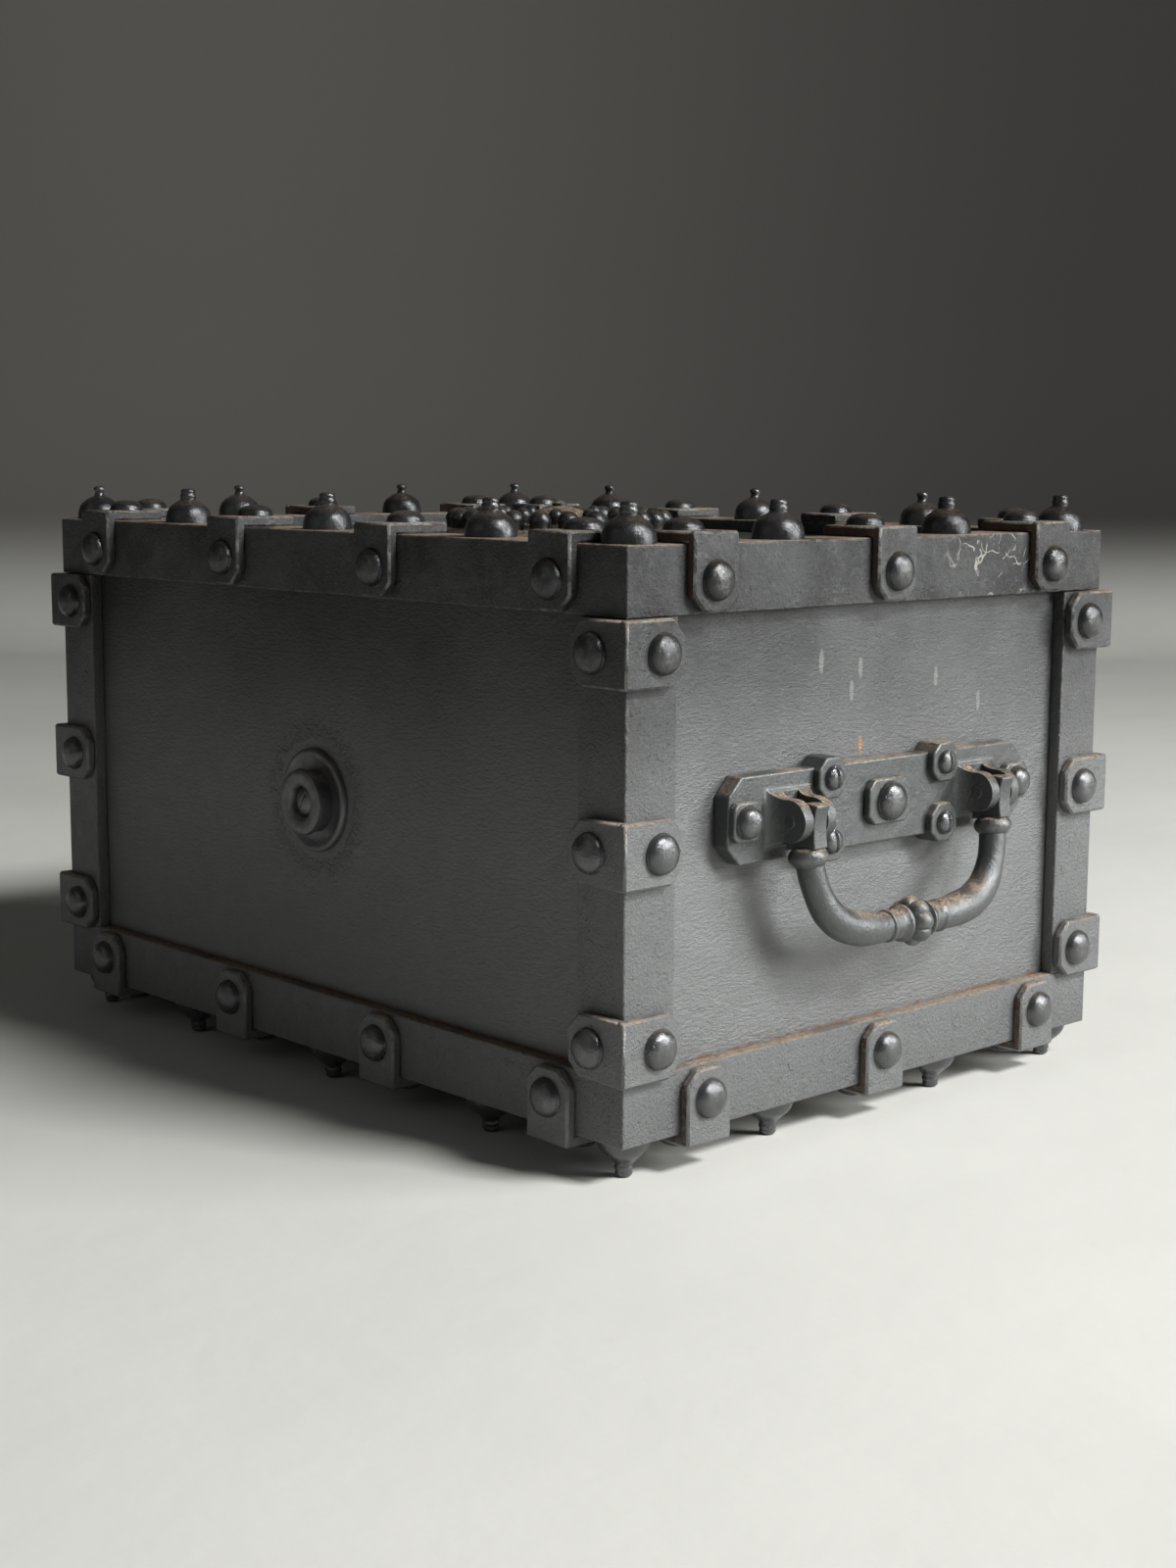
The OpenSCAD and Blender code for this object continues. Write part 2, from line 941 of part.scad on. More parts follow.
module handle_pads() {
    color(worn_iron)
        for (k = [1, 3])
            on_handle(k) {
                for (x = [-pad_x, pad_x])
                    for (side = [-1, 1])
                        translate([x, 0, side * pad_z])
                            screw_pad(side);
                end_places()
                    pad(end_pad_w, end_pad_w, end_pad_cut);
                pad(middle_pad_w, middle_pad_h, middle_pad_cut);
            }
}

// A screw or stud through a pad, the plate and the panel
module handle_stud(d, h, slot) {
    translate([0, -grip_plate_t - pad_t, 0])
        rotate([90, 0, 0])
            difference() {
                rivet(d, h, pad_t + grip_plate_t + panel_t, screw_shank_d);
                if (slot)
                    translate([-screw_slot_w / 2, -d / 2 - 1, h - 2])
                        cube([screw_slot_w, d + 2, 3]);
            }
}

module handle_screws() {
    color(dark_steel)
        for (k = [1, 3])
            on_handle(k) {
                screw_places()
                    handle_stud(screw_d, screw_h, true);
                end_places()
                    handle_stud(end_stud_d, stud_h, false);
                handle_stud(middle_stud_d, stud_h, false);
            }
}

// A hollow quarter round of radius flare, from a lip at the plate out to a cheek
function flare_points(reach) = [
    for (a = [90 : -15 : 0]) [reach + flare - flare * cos(a), root_lip + flare - flare * sin(a)]
];

// A fork: two round-nosed cheeks that flare out at the plate, and a web between them
module bracket() {
    side_view = flare_points(nose_r);
    plan = flare_points(cheek_x + cheek_t);
    nose_out = pivot_out + nose_r + 1;
    difference() {
        union() {
            intersection() {
                along_x(2 * (cheek_x + cheek_t + flare))
                    translate([-grip_plate_t, 0]) {
                        polygon(concat(
                            [[0, -nose_r - flare], [0, nose_r + flare]],
                            [for (p = side_view) [-p[1], p[0]]],
                            [[-pivot_out, nose_r], [-pivot_out, -nose_r]],
                            [for (i = [len(side_view) - 1 : -1 : 0]) [-side_view[i][1], -side_view[i][0]]]
                        ));
                        translate([-pivot_out, 0])
                            circle(nose_r);
                    }
                translate([0, -grip_plate_t, -nose_r - flare - 1])
                    linear_extrude(2 * (nose_r + flare + 1))
                        polygon(concat(
                            [[-cheek_x - cheek_t - flare, 0], [cheek_x + cheek_t + flare, 0]],
                            [for (p = plan) [p[0], -p[1]]],
                            [[cheek_x + cheek_t, -nose_out], [cheek_x, -nose_out], [cheek_x, -web_t]],
                            [[-cheek_x, -web_t], [-cheek_x, -nose_out], [-cheek_x - cheek_t, -nose_out]],
                            [for (i = [len(plan) - 1 : -1 : 0]) [-plan[i][0], -plan[i][1]]]
                        ));
            }
            drill_y(tenon_d, grip_plate_t + 1, panel_t);
        }
        translate([0, -bail_out, 0])
            rotate([0, 90, 0])
                cylinder(d = pivot_d + 2 * fixed_fit, h = 4 * (cheek_x + cheek_t), center = true);
    }
}

module handle_brackets_right() {
    color(worn_iron) on_handle(1) bracket_places() bracket();
}

module handle_brackets_left() {
    color(worn_iron) on_handle(3) bracket_places() bracket();
}

module pivot_pins() {
    color(dark_steel)
        for (k = [1, 3])
            on_handle(k)
                bracket_places()
                    translate([0, -bail_out, 0])
                        rotate([0, 90, 0])
                            cylinder(d = pivot_d, h = 2 * (cheek_x + cheek_t), center = true);
}

// A bail. In its own frame the pivot axis is x, and the bail hangs down z.
knuckle_r = (pivot_out - web_t - heel_gap) / cos(bail_lean);
knuckle_low = 15.5;
heel = knuckle_r + knuckle_low * tan(bail_lean);
collar_h = 9;
collar_r = 10.6;
leg_z = -knuckle_low - collar_h / 2;
grip_half = 22.5;
belly_d = bail_d + 3;
// Legs and bars run this far into the bends, thinner than them by the step
bend_lap = 3;
bend_step = 0.3;
bend_x = bail_span / 2 - bail_bend * cos(bail_slant)
    - (bail_drop + leg_z - bail_bend * (1 - sin(bail_slant))) * tan(bail_slant);

module bail_side(side) {
    leg_l = (bail_drop + leg_z - bail_bend * (1 - sin(bail_slant))) / cos(bail_slant);
    difference() {
        union() {
            rotate([0, 90, 0])
                cylinder(r = knuckle_r, h = knuckle_w, center = true);
            along_x(knuckle_w)
                polygon([[-knuckle_r, 0], [-heel, -knuckle_low], [heel, -knuckle_low], [knuckle_r, 0]]);
            translate([0, 0, -knuckle_low])
                rotate_extrude()
                    polygon([
                        [0, eps], [collar_r - 3, eps], [collar_r - 1.1, -1], [collar_r, -3.2], [collar_r, -5.5],
                        [collar_r - 1.1, -7.5], [bail_d / 2, -collar_h], [0, -collar_h]
                    ]);
            translate([0, 0, leg_z])
                rotate([0, 180 + side * bail_slant, 0])
                    cylinder(d1 = bail_d, d2 = belly_d - 2 * bend_step, h = leg_l + bend_lap);
        }
        rotate([0, 90, 0])
            cylinder(d = pivot_d + 2 * turning_fit, h = 2 * knuckle_w, center = true);
    }
}

// The turned grip in the middle of the bar: a belly between two rims, and a ridge at each end
module bail_grip() {
    r = bail_d / 2;
    half = [
        [r + 1, -grip_half], [r + 1.5, 0.7 - grip_half], [r + 1.5, 1.7 - grip_half], [r + 0.8, 3 - grip_half],
        [r + 0.7, -15], [r + 1.3, -12], [r + 2.8, -10.6], [r + 2.8, -9.2], [r + 2.3, -8.2], [r + 4.4, -6.2],
        [r + 5.9, -3.6], [r + 6.3, -1]
    ];
    rotate([0, 90, 0])
        rotate_extrude()
            polygon(concat(
                [[0, -grip_half]],
                half,
                [for (i = [len(half) - 1 : -1 : 0]) [half[i][0], -half[i][1]]],
                [[0, grip_half]]
            ));
}

module bail() {
    for (side = [-1, 1]) {
        translate([side * bail_span / 2, 0, 0])
            bail_side(side);
        translate([side * bend_x, 0, bail_bend - bail_drop])
            rotate([90, 0, 0])
                rotate([0, 0, side > 0 ? -90 : 180 + bail_slant])
                    rotate_extrude(angle = 90 - bail_slant)
                        translate([bail_bend, 0])
                            circle(d = belly_d);
        translate([side * (bend_x + bend_lap), 0, -bail_drop])
            rotate([0, side * -90, 0])
                cylinder(d1 = belly_d - 2 * bend_step, d2 = bail_d + 1, h = bend_x + bend_lap - grip_half + 1);
    }
    translate([0, 0, -bail_drop])
        bail_grip();
}

module on_pivot(k) {
    on_handle(k)
        translate([0, -bail_out, bail_rise])
            rotate([-bail_lean, 0, 0])
                children();
}

module bail_right() {
    color(dark_steel) on_pivot(1) bail();
}

module bail_left() {
    color(dark_steel) on_pivot(3) bail();
}

// Lid ornament, on the lid panel's face
rose_z = lid_face_z + rose_t;
lobe_ring = rose_d / 2 - lobe_d / 2 - 9;
band_h = 2.5;
knob_neck = 1.5;
cover_hinge_y = cover_d / 2 + 5;
cover_hinge_z = rose_z + 4;
cover_knuckle_d = 7;
cover_pin_d = 3;
cover_knuckle_l = 10;
knob_ring = cover_hinge_y + cover_knuckle_d / 2 + 1 + knob_d / 2;

module ornament_plate() {
    outer = rose_d / 2;
    inner = spindle_d / 2 + turning_fit;
    lug_x = cover_knuckle_l / 2 + side_fit;
    color(black_iron)
        difference() {
            union() {
                translate([0, 0, lid_face_z])
                    rotate_extrude()
                        polygon([
                            [inner, 0], [outer, 0], [outer, rose_t - 3], [outer - 4, rose_t],
                            [knob_ring + knob_d / 2 + 1, rose_t], [knob_ring + knob_d / 2, rose_t + band_h],
                            [knob_ring - knob_d / 2, rose_t + band_h], [knob_ring - knob_d / 2 - 0.5, rose_t],
                            [inner, rose_t]
                        ]);
                for (side = [-1, 1]) {
                    translate([side * (lug_x + 1.75), cover_hinge_y, cover_hinge_z])
                        rotate([0, 90, 0])
                            cylinder(d = cover_knuckle_d, h = 3.5, center = true);
                    translate([side * (lug_x + 1.75) - 1.75, cover_hinge_y - cover_knuckle_d / 2, rose_z - eps])
                        cube([3.5, cover_knuckle_d, cover_hinge_z - rose_z + eps]);
                }
            }
            translate([0, cover_hinge_y, cover_hinge_z])
                rotate([0, 90, 0])
                    cylinder(d = cover_pin_d + 2 * fixed_fit, h = 30, center = true);
        }
}

module ornament_lobes() {
    straight = lobe_h - lobe_d / 2;
    color(worn_iron)
        for (i = [0 : rose_lobes_n - 1])
            rotate([0, 0, 360 * (i + 0.5) / rose_lobes_n])
                translate([lobe_ring, 0, rose_z]) {
                    cylinder(d = lobe_d - 1, h = straight + eps);
                    translate([0, 0, straight])
                        dome(lobe_d, lobe_d / 2 - 0.2);
                }
}

module ornament_knobs() {
    color(worn_iron)
        for (i = [0 : knobs_n - 1])
            rotate([0, 0, 360 * (i + 0.5) / knobs_n])
                translate([knob_ring, 0, rose_z + band_h]) {
                    cylinder(d = knob_d * 0.7, h = knob_neck + 1);
                    translate([0, 0, knob_neck])
                        intersection() {
                            translate([0, 0, knob_d * 0.38])
                                sphere(d = knob_d);
                            cylinder(d = knob_d + 1, h = knob_d);
                        }
                }
}

// The cover over the keyhole, with a small thumb piece opposite its hinge
module keyhole_cover() {
    lift = 0.3;
    color(worn_iron)
        difference() {
            union() {
                translate([0, 0, rose_z + lift]) {
                    cylinder(d = cover_d, h = 2.5);
                    translate([0, 0, 2])
                        dome(cover_d - 3, cover_h - 5);
                    translate([0, 0, cover_h - 4])
                        cylinder(d = 9, h = 2.5);
                    translate([0, 0, cover_h - 2])
                        dome(9, 2);
                    translate([-5, -cover_d / 2 - 2.5, 0])
                        cube([10, 5, 2.5]);
                    translate([-cover_knuckle_l / 2, cover_d / 2 - 3, 0])
                        cube([cover_knuckle_l, 8, 2.5]);
                }
                translate([0, cover_hinge_y, cover_hinge_z])
                    rotate([0, 90, 0])
                        cylinder(d = cover_knuckle_d, h = cover_knuckle_l, center = true);
            }
            translate([0, cover_hinge_y, cover_hinge_z])
                rotate([0, 90, 0])
                    cylinder(d = cover_pin_d + 2 * turning_fit, h = cover_knuckle_l + 2, center = true);
        }
}

module cover_pin() {
    color(bright_steel)
        translate([0, cover_hinge_y, cover_hinge_z])
            rotate([0, 90, 0])
                cylinder(d = cover_pin_d, h = cover_knuckle_l + 2 * side_fit + 7, center = true);
}

// Lock: four bolts that a turning plate with spiral slots drives out under the rim rails
bolt_top_z = rim_z - rail_t - 1;
bolt_low_z = bolt_top_z - bolt_t;
cam_low_z = bolt_top_z + 0.6;
cam_t = 5;
plate_t = 4;
plate_top_z = bolt_low_z - 0.4;
plate_w = 130;
plate_cut = 12;
pillar_at = 52;
pillar_d = 12;
journal_d = 10;
drive_w = 11;
tail_r = follower_r - 10;
slot_fit = 0.3;
slot_steps = 16;
guide_l = 8;
guide_wall = 5;

function tip_of(k) = half_out(k) - wall - rail_leg - bolt_gap;
function guide_of(k) = tip_of(k) - 11.5;

// A point of the spiral that a follower sweeps as the cam turns a quarter, set off square to it
function slot_point(i, offset) =
    let (
        t = i / slot_steps,
        r = follower_r + bolt_travel * t,
        a = -90 * t,
        square = a + atan(bolt_travel / (r * PI / 2))
    )
    [r * cos(a) + offset * cos(square), r * sin(a) + offset * sin(square)];

module cam_slot() {
    r = follower_d / 2 + slot_fit;
    linear_extrude(cam_t + 2 * eps)
        polygon(concat(
            [for (i = [0 : slot_steps]) slot_point(i, r)],
            [for (i = [slot_steps : -1 : 0]) slot_point(i, -r)]
        ));
    for (i = [0, slot_steps])
        translate(slot_point(i, 0))
            cylinder(r = r, h = cam_t + 2 * eps);
}

module lock_cam() {
    color(dark_steel)
        translate([0, 0, cam_low_z])
            difference() {
                cylinder(r = follower_r + bolt_travel + follower_d / 2 + 6, h = cam_t);
                for (k = [0 : 3])
                    rotate([0, 0, 90 * k])
                        translate([0, 0, -eps])
                            cam_slot();
                translate([-drive_w / 2 - fixed_fit, -drive_w / 2 - fixed_fit, -eps])
                    cube([drive_w + 2 * fixed_fit, drive_w + 2 * fixed_fit, cam_t + 2 * eps]);
            }
}

// The spindle: a journal in the lock plate, a square for the cam, a shaft up to the keyhole
module lock_spindle() {
    slot_w = 3.2;
    slot_h = 3.5;
    square_r = drive_w / 2;
    color(bright_steel)
        difference() {
            union() {
                drill_z(journal_d, plate_top_z - plate_t, plate_top_z + 1);
                drill_z(spindle_d, plate_top_z + 0.2, cam_low_z);
                translate([-square_r, -square_r, cam_low_z - eps])
                    cube([drive_w, drive_w, cam_t + 2 * eps]);
                drill_z(spindle_d + 5, cam_low_z + cam_t, cam_low_z + cam_t + 3);
                drill_z(spindle_d, cam_low_z + cam_t, rose_z);
            }
            translate([-spindle_d / 2 + 1.5, -slot_w / 2, rose_z - slot_h])
                cube([spindle_d - 3, slot_w, slot_h + 1]);
        }
}

module lock_plate() {
    color(dark_steel)
        difference() {
            translate([0, 0, plate_top_z - plate_t])
                linear_extrude(plate_t)
                    polygon(eight_sided(plate_w, plate_w, plate_cut));
            drill_z(journal_d + 2 * turning_fit, plate_top_z - plate_t - eps, plate_top_z + eps);
            pillar_places()
                drill_z(screw_shank_d + 2 * fixed_fit, plate_top_z - plate_t - eps, plate_top_z + eps);
        }
}

module pillar_places() {
    for (x = [-pillar_at, pillar_at])
        for (y = [-pillar_at, pillar_at])
            translate([x, y, 0])
                children();
}

// Pillars from the lid down to the lock plate, each with a riveted end below the plate
module lock_pillars() {
    color(bright_steel)
        pillar_places() {
            drill_z(pillar_d, plate_top_z, lid_under_z);
            drill_z(screw_shank_d, plate_top_z - plate_t, plate_top_z + eps);
            translate([0, 0, plate_top_z - plate_t])
                mirror([0, 0, 1])
                    dome(pillar_d, 2.5);
        }
}

// A plain bolt, drawn along -y of its side: from its tail near the spindle to its tip
module bolt_bar(from, to, w) {
    translate([-w / 2, -to, bolt_low_z])
        cube([w, to - from, bolt_t]);
}

module follower() {
    translate([0, -follower_r, 0])
        drill_z(follower_d, bolt_top_z - eps, cam_low_z + cam_t);
}

module plain_bolt(k) {
    rotate([0, 0, 90 * k]) {
        bolt_bar(tail_r, tip_of(k), bolt_w);
        follower();
    }
}

// A forked bolt: a stem, a crossbar and two tongues
module forked_bolt(k) {
    bar_out = guide_of(k) - guide_l / 2 - bolt_travel - 2;
    rotate([0, 0, 90 * k]) {
        bolt_bar(tail_r, bar_out - 1, bolt_w);
        bolt_bar(bar_out - 16, bar_out, 2 * tongue_x + bolt_w);
        for (side = [-1, 1])
            translate([side * tongue_x, 0, 0])
                bolt_bar(bar_out - 1, tip_of(k), bolt_w);
        follower();
    }
}

module bolt_front() {
    color(bright_steel) forked_bolt(0);
}

module bolt_right() {
    color(bright_steel) plain_bolt(1);
}

module bolt_back() {
    color(bright_steel) forked_bolt(2);
}

module bolt_left() {
    color(bright_steel) plain_bolt(3);
}

// Guides that hang from the lid and lead the bolts near their tips
module bolt_guide() {
    low = bolt_low_z - side_fit - 3;
    outer = bolt_w + 2 * side_fit + 2 * guide_wall;
    difference() {
        translate([-outer / 2, -guide_l / 2, low])
            cube([outer, guide_l, lid_under_z - low]);
        translate([-bolt_w / 2 - side_fit, -guide_l, bolt_low_z - side_fit])
            cube([bolt_w + 2 * side_fit, 2 * guide_l, bolt_t + 2 * side_fit]);
    }
}

module bolt_guides() {
    color(dark_steel)
        for (k = [0 : 3])
            rotate([0, 0, 90 * k])
                for (x = k % 2 == 0 ? [-tongue_x, tongue_x] : [0])
                    translate([x, -guide_of(k), 0])
                        bolt_guide();
}

bottom_plate();
front_panel();
right_panel();
back_panel();
left_panel();
base_iron_front();
base_iron_right();
base_iron_back();
base_iron_left();
corner_iron_front_right();
corner_iron_back_right();
corner_iron_back_left();
corner_iron_front_left();
corner_clips();
corner_rivets();
base_clips();
base_rivets();
panel_rivets();
feet();
rim_rail_front();
rim_rail_right();
rim_rail_back();
rim_rail_left();
hinge_leaves_body();
hinge_pins();
boss_ring();
boss_disc();
boss_screw();
handle_plate_right();
handle_plate_left();
handle_pads();
handle_screws();
handle_brackets_right();
handle_brackets_left();
pivot_pins();
bail_right();
bail_left();
lid_panel();
lid_iron_front();
lid_iron_right();
lid_iron_back();
lid_iron_left();
lid_clips();
lid_rivets();
lid_finials();
hinge_leaves_lid();
ornament_plate();
ornament_lobes();
ornament_knobs();
keyhole_cover();
cover_pin();
lock_plate();
lock_pillars();
bolt_guides();
lock_spindle();
lock_cam();
bolt_front();
bolt_right();
bolt_back();
bolt_left();
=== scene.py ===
"""A riveted iron strongbox, dressed over its CAD frame: cast angle irons, clips, studs, handles and lock."""

import json
import math

import bmesh
import bpy
from mathutils import Matrix, Vector, noise


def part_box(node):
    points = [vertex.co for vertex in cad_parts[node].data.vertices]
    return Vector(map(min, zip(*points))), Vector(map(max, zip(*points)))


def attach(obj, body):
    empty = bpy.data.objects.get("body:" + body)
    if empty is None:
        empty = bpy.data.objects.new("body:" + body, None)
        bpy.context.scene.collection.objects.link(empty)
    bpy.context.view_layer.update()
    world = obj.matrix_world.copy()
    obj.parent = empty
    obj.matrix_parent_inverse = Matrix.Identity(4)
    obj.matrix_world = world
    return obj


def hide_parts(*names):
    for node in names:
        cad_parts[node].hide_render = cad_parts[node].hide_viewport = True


bl_info = {
    "name": "Riveted strongbox",
    "version": (1, 0, 0),
    "blender": (4, 5, 0),
    "location": "View3D > Sidebar > Strongbox",
    "description": "Builds the finished pieces of a riveted iron strongbox round its CAD frame",
    "category": "Object",
}

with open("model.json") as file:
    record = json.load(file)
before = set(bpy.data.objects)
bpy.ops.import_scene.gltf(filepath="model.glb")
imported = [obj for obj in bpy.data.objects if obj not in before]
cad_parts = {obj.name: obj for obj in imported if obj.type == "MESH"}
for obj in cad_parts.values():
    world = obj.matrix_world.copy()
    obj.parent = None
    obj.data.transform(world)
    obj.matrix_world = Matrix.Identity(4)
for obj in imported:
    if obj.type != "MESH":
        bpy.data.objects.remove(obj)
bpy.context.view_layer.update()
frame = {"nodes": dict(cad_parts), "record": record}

MM = 0.001

# Castings are uneven by noise; its seed makes every run give the same meshes
noise.seed_set(7)


# Places on the box, all read from the CAD frame

base_low, base_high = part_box("base_iron_front")
panel_low, panel_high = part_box("front_panel")
HALF_LENGTH = base_high.x
HALF_WIDTH = -base_low.y
BASE_Z = base_low.z
TOP_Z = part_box("lid_iron_front")[1].z
RIM_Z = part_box("corner_iron_front_right")[1].z
LEG = base_high.z - base_low.z
IRON_T = panel_low.y - base_low.y
WALL = panel_high.y - base_low.y


def half_out(side):
    """Distance from the middle to the irons' outer face. Side 0 is the front, 1 the right, 2 the back."""
    return HALF_WIDTH if side % 2 == 0 else HALF_LENGTH


def half_long(side):
    """Half the length of a side."""
    return half_out(side + 1)


def turned(degrees, axis):
    return Matrix.Rotation(math.radians(degrees), 4, axis)


def moved(x, y, z):
    return Matrix.Translation((x, y, z))


def flipped(up, axis):
    """Nothing for what stands on the box, half a turn for what hangs below it; up is 1 or -1."""
    return turned(90 - 90 * up, axis)


def on_side(side):
    """Frame of a side: x along it, y inwards from the irons' outer face, z up from the floor."""
    return turned(90 * side, "Z") @ moved(0, -half_out(side), 0)


def facing(side, x, z, out=0.0):
    """Frame of a piece that stands on a side: x along it, y up, z outwards."""
    return on_side(side) @ moved(x, -out, z) @ turned(90, "X")


def on_corner(corner):
    """Frame of an upright corner: the irons lie at -x and +y."""
    return turned(90 * corner, "Z") @ moved(half_long(corner), -half_out(corner), 0)


def spread(count, half):
    """Evenly spaced places from -half to half."""
    return [-half + 2 * half * i / (count - 1) for i in range(count)]


def between(values):
    """The places midway between neighbours."""
    return [(a + b) / 2 for a, b in zip(values, values[1:])]


def smoothly(value, low, high):
    """0 below low, 1 above high, in an even S between."""
    t = min(1.0, max(0.0, (value - low) / (high - low)))
    return t * t * (3 - 2 * t)


# Sizes and colours that a user would change

def linear(text):
    """An sRGB hex colour as linear values."""
    values = [int(text[i:i + 2], 16) / 255 for i in (1, 3, 5)]
    return tuple(v / 12.92 if v <= 0.04045 else ((v + 0.055) / 1.055) ** 2.4 for v in values)


def length(name, text, millimetres):
    return bpy.props.FloatProperty(
        name=name, description=text, default=millimetres * MM, unit="LENGTH", subtype="DISTANCE", precision=4
    )


def count(name, text, value):
    return bpy.props.IntProperty(name=name, description=text, default=value, min=1)


def tint(name, text, hex_value):
    return bpy.props.FloatVectorProperty(
        name=name, description=text, default=linear(hex_value), subtype="COLOR", size=3, min=0, max=1
    )


class StrongboxIrons(bpy.types.PropertyGroup):
    """Roundings and unevenness of the cast angle irons"""
    corner_r: length("Outer rounding", "Radius along the outer edge of an iron", 1.3)
    tip_r: length("Tip rounding", "Radius along the free edges of an iron", 1.0)
    fillet_r: length("Inner fillet", "Radius in the inner corner of an iron", 3.0)
    wave: length("Waviness", "How far a cast face strays from flat", 0.22)


class StrongboxClips(bpy.types.PropertyGroup):
    """Clips over the edges and corners, and their studs"""
    long_n: count("Clips on a long side", "Edge clips on the front and the back", 4)
    short_n: count("Clips on a short side", "Edge clips on the left and the right", 3)
    end_long: length("Long side inset", "Middle of the outer clip of a long side, from the corner", 50.5)
    end_short: length("Short side inset", "Middle of the outer clip of a short side, from the corner", 56)
    width: length("Width", "Width of the edge clips", 32)
    thick: length("Thickness", "Thickness of all the clips", 6)
    cut: length("Corner cut", "Cut across the corners of the clips", 8)
    margin: length("Margin", "Iron that an edge clip leaves bare", 1.2)
    corner_leg: length("Corner leg", "Leg of the corner clips", 35)
    corner_h: length("Corner height", "Height of the corner clips", 34)
    lap: length("Lap", "How far the lowest corner clips lap over the base irons", 2)
    soft: length("Edge rounding", "Width of the worn edges", 1.3)


class StrongboxStuds(bpy.types.PropertyGroup):
    """Domed rivets, flush rivets, finials and feet"""
    head_d: length("Head diameter", "Diameter of the domed heads", 21.5)
    head_h: length("Head height", "Height of the domed heads", 6.5)
    inset: length("Inset", "Distance of rivets and finials from the edge of the box", 18)
    corner_inset: length("Corner inset", "Distance of the corner clips' rivets from the corner", 19)
    flush_d: length("Flush rivet", "Diameter of the flush rivets", 9)
    flush_inset: length("Flush inset", "Distance of the flush rivets from the corner", 25)
    flush_z: length("Flush height", "Height of the lowest flush rivets over the irons' underside", 22)
    finial_d: length("Finial diameter", "Diameter of finials and feet", 28)
    button_d: length("Button", "Diameter of their button", 9.2)
    stem_d: length("Stem", "Diameter of their stems", 8)
    shank_d: length("Shank", "Diameter of the rivets' shanks", 7)
    hinge_d: length("Hinge rivet", "Diameter of the rivets in the hinges' leaves", 11)
    hinge_h: length("Hinge rivet height", "Height of their heads", 2.5)


class StrongboxBoss(bpy.types.PropertyGroup):
    """The round boss on the front"""
    lift: length("Disc lift", "How far the disc stands over its CAD solid", 3.5)
    slot_w: length("Slot", "Width of the screw's slot", 1.4)
    slot_turn: bpy.props.FloatProperty(
        name="Slot turn", description="Turn of the screw's slot", default=math.radians(60), subtype="ANGLE"
    )


class StrongboxHandle(bpy.types.PropertyGroup):
    """A handle: its plate, pads, studs and bail"""
    plate_l: length("Plate length", "Length of the handle plate", 246)
    plate_h: length("Plate height", "Height of the handle plate", 46)
    plate_t: length("Plate thickness", "Thickness of the handle plate", 10.5)
    plate_cut: length("Plate cut", "Cut across the corners of the plate", 9.5)
    pad_w: length("Screw pad", "Square of the screw pads", 22)
    pad_x: length("Pads along", "Distance of the screw pads from the middle, along the plate", 47.5)
    pad_z: length("Pads up", "Distance of the screw pads from the middle, up and down", 17)
    pad_t: length("Pad thickness", "How far the pads stand out of the plate", 4.5)
    end_pad: length("End pad", "Square of the end pads", 20.5)
    middle_w: length("Middle pad width", "Width of the middle pad", 35)
    middle_h: length("Middle pad height", "Height of the middle pad", 25)
    span: length("Bail span", "Distance between the bail's pivots", 156)
    pivot_out: length("Pivot", "How far the pivots stand out of the plate", 12)
    rise: length("Pivot rise", "Height of the pivots against the middle of the plate", -1)
    drop: length("Bail drop", "Drop from the pivots to the middle of the bar", 63.5)
    bar_d: length("Bar", "Diameter of the bail's legs", 15)
    lean: bpy.props.FloatProperty(
        name="Lean", description="Lean at which the bail hangs", default=math.radians(8), subtype="ANGLE"
    )
    screw_d: length("Screw", "Diameter of the screws' heads", 14)
    screw_h: length("Screw height", "Height of the screws' domes", 4.4)
    slot_w: length("Screw slot", "Width of the screws' slots", 2)
    slot_deep: length("Slot depth", "Depth of the slots from the top of the dome", 2.9)
    end_stud_d: length("End stud", "Diameter of the studs on the end pads", 18)
    middle_stud_d: length("Middle stud", "Diameter of the stud on the middle pad", 22)
    stud_h: length("Stud height", "Height of the plate's studs", 7)


class StrongboxOrnament(bpy.types.PropertyGroup):
    """The round ornament in the middle of the lid"""
    plate_t: length("Plate thickness", "Thickness of the ornament's plate", 6)
    lobes_n: count("Lobes", "Lobes round the ornament", 24)
    lobe_d: length("Lobe", "Diameter of a lobe", 14)
    lobe_h: length("Lobe height", "Height of a lobe", 12)
    lobe_ring: length("Lobe ring", "Radius of the ring of lobes", 64)
    knobs_n: count("Knobs", "Knobs round the keyhole cover", 12)
    knob_d: length("Knob", "Diameter of a knob", 10)
    knob_ring: length("Knob ring", "Radius of the ring of knobs", 40.5)
    band_h: length("Band", "Height of the band under the knobs", 2.5)


class StrongboxFinish(bpy.types.PropertyGroup):
    """Colours of the blackened iron and of what time left on it"""
    panel: tint("Panels", "Brushed black paint on the panels", "#4c4d4d")
    band: tint("Irons", "Blackened angle irons", "#4b4c4c")
    stud: tint("Studs", "Blackened domes, rubbed by handling", "#404142")
    handle: tint("Handles", "Blackened handles with a blue cast", "#454747")
    # on the clips the bare iron along the edges is also a painted highlight
    bare: tint("Bare iron", "Iron rubbed bare along the edges", "#868682")
    rust: tint("Rust", "Rust on ledges and in corners", "#6b4a33")
    dust: tint("Dust", "Pale dust on what faces up", "#b09c84")
    steel: tint("Steel", "Filed steel of pins and bolts", "#8d8a85")
    drip: tint("Drips", "Pale drips on the right panel", "#adadaa")
    streak: tint("Streak", "Orange drip over the handle", "#ad7c50")
    speck: tint("Specks", "Pale specks in the panels' paint", "#aaa8a2")
    scratch: tint("Scratches", "Scratches near the lid's back corner", "#a2a097")
    floor: tint("Floor", "Pale plain floor", "#d8d8d2")
    wall: tint("Backdrop", "Plain grey backdrop", "#5a5956")
    air: tint("Air", "Faint light from all round", "#bcbcba")


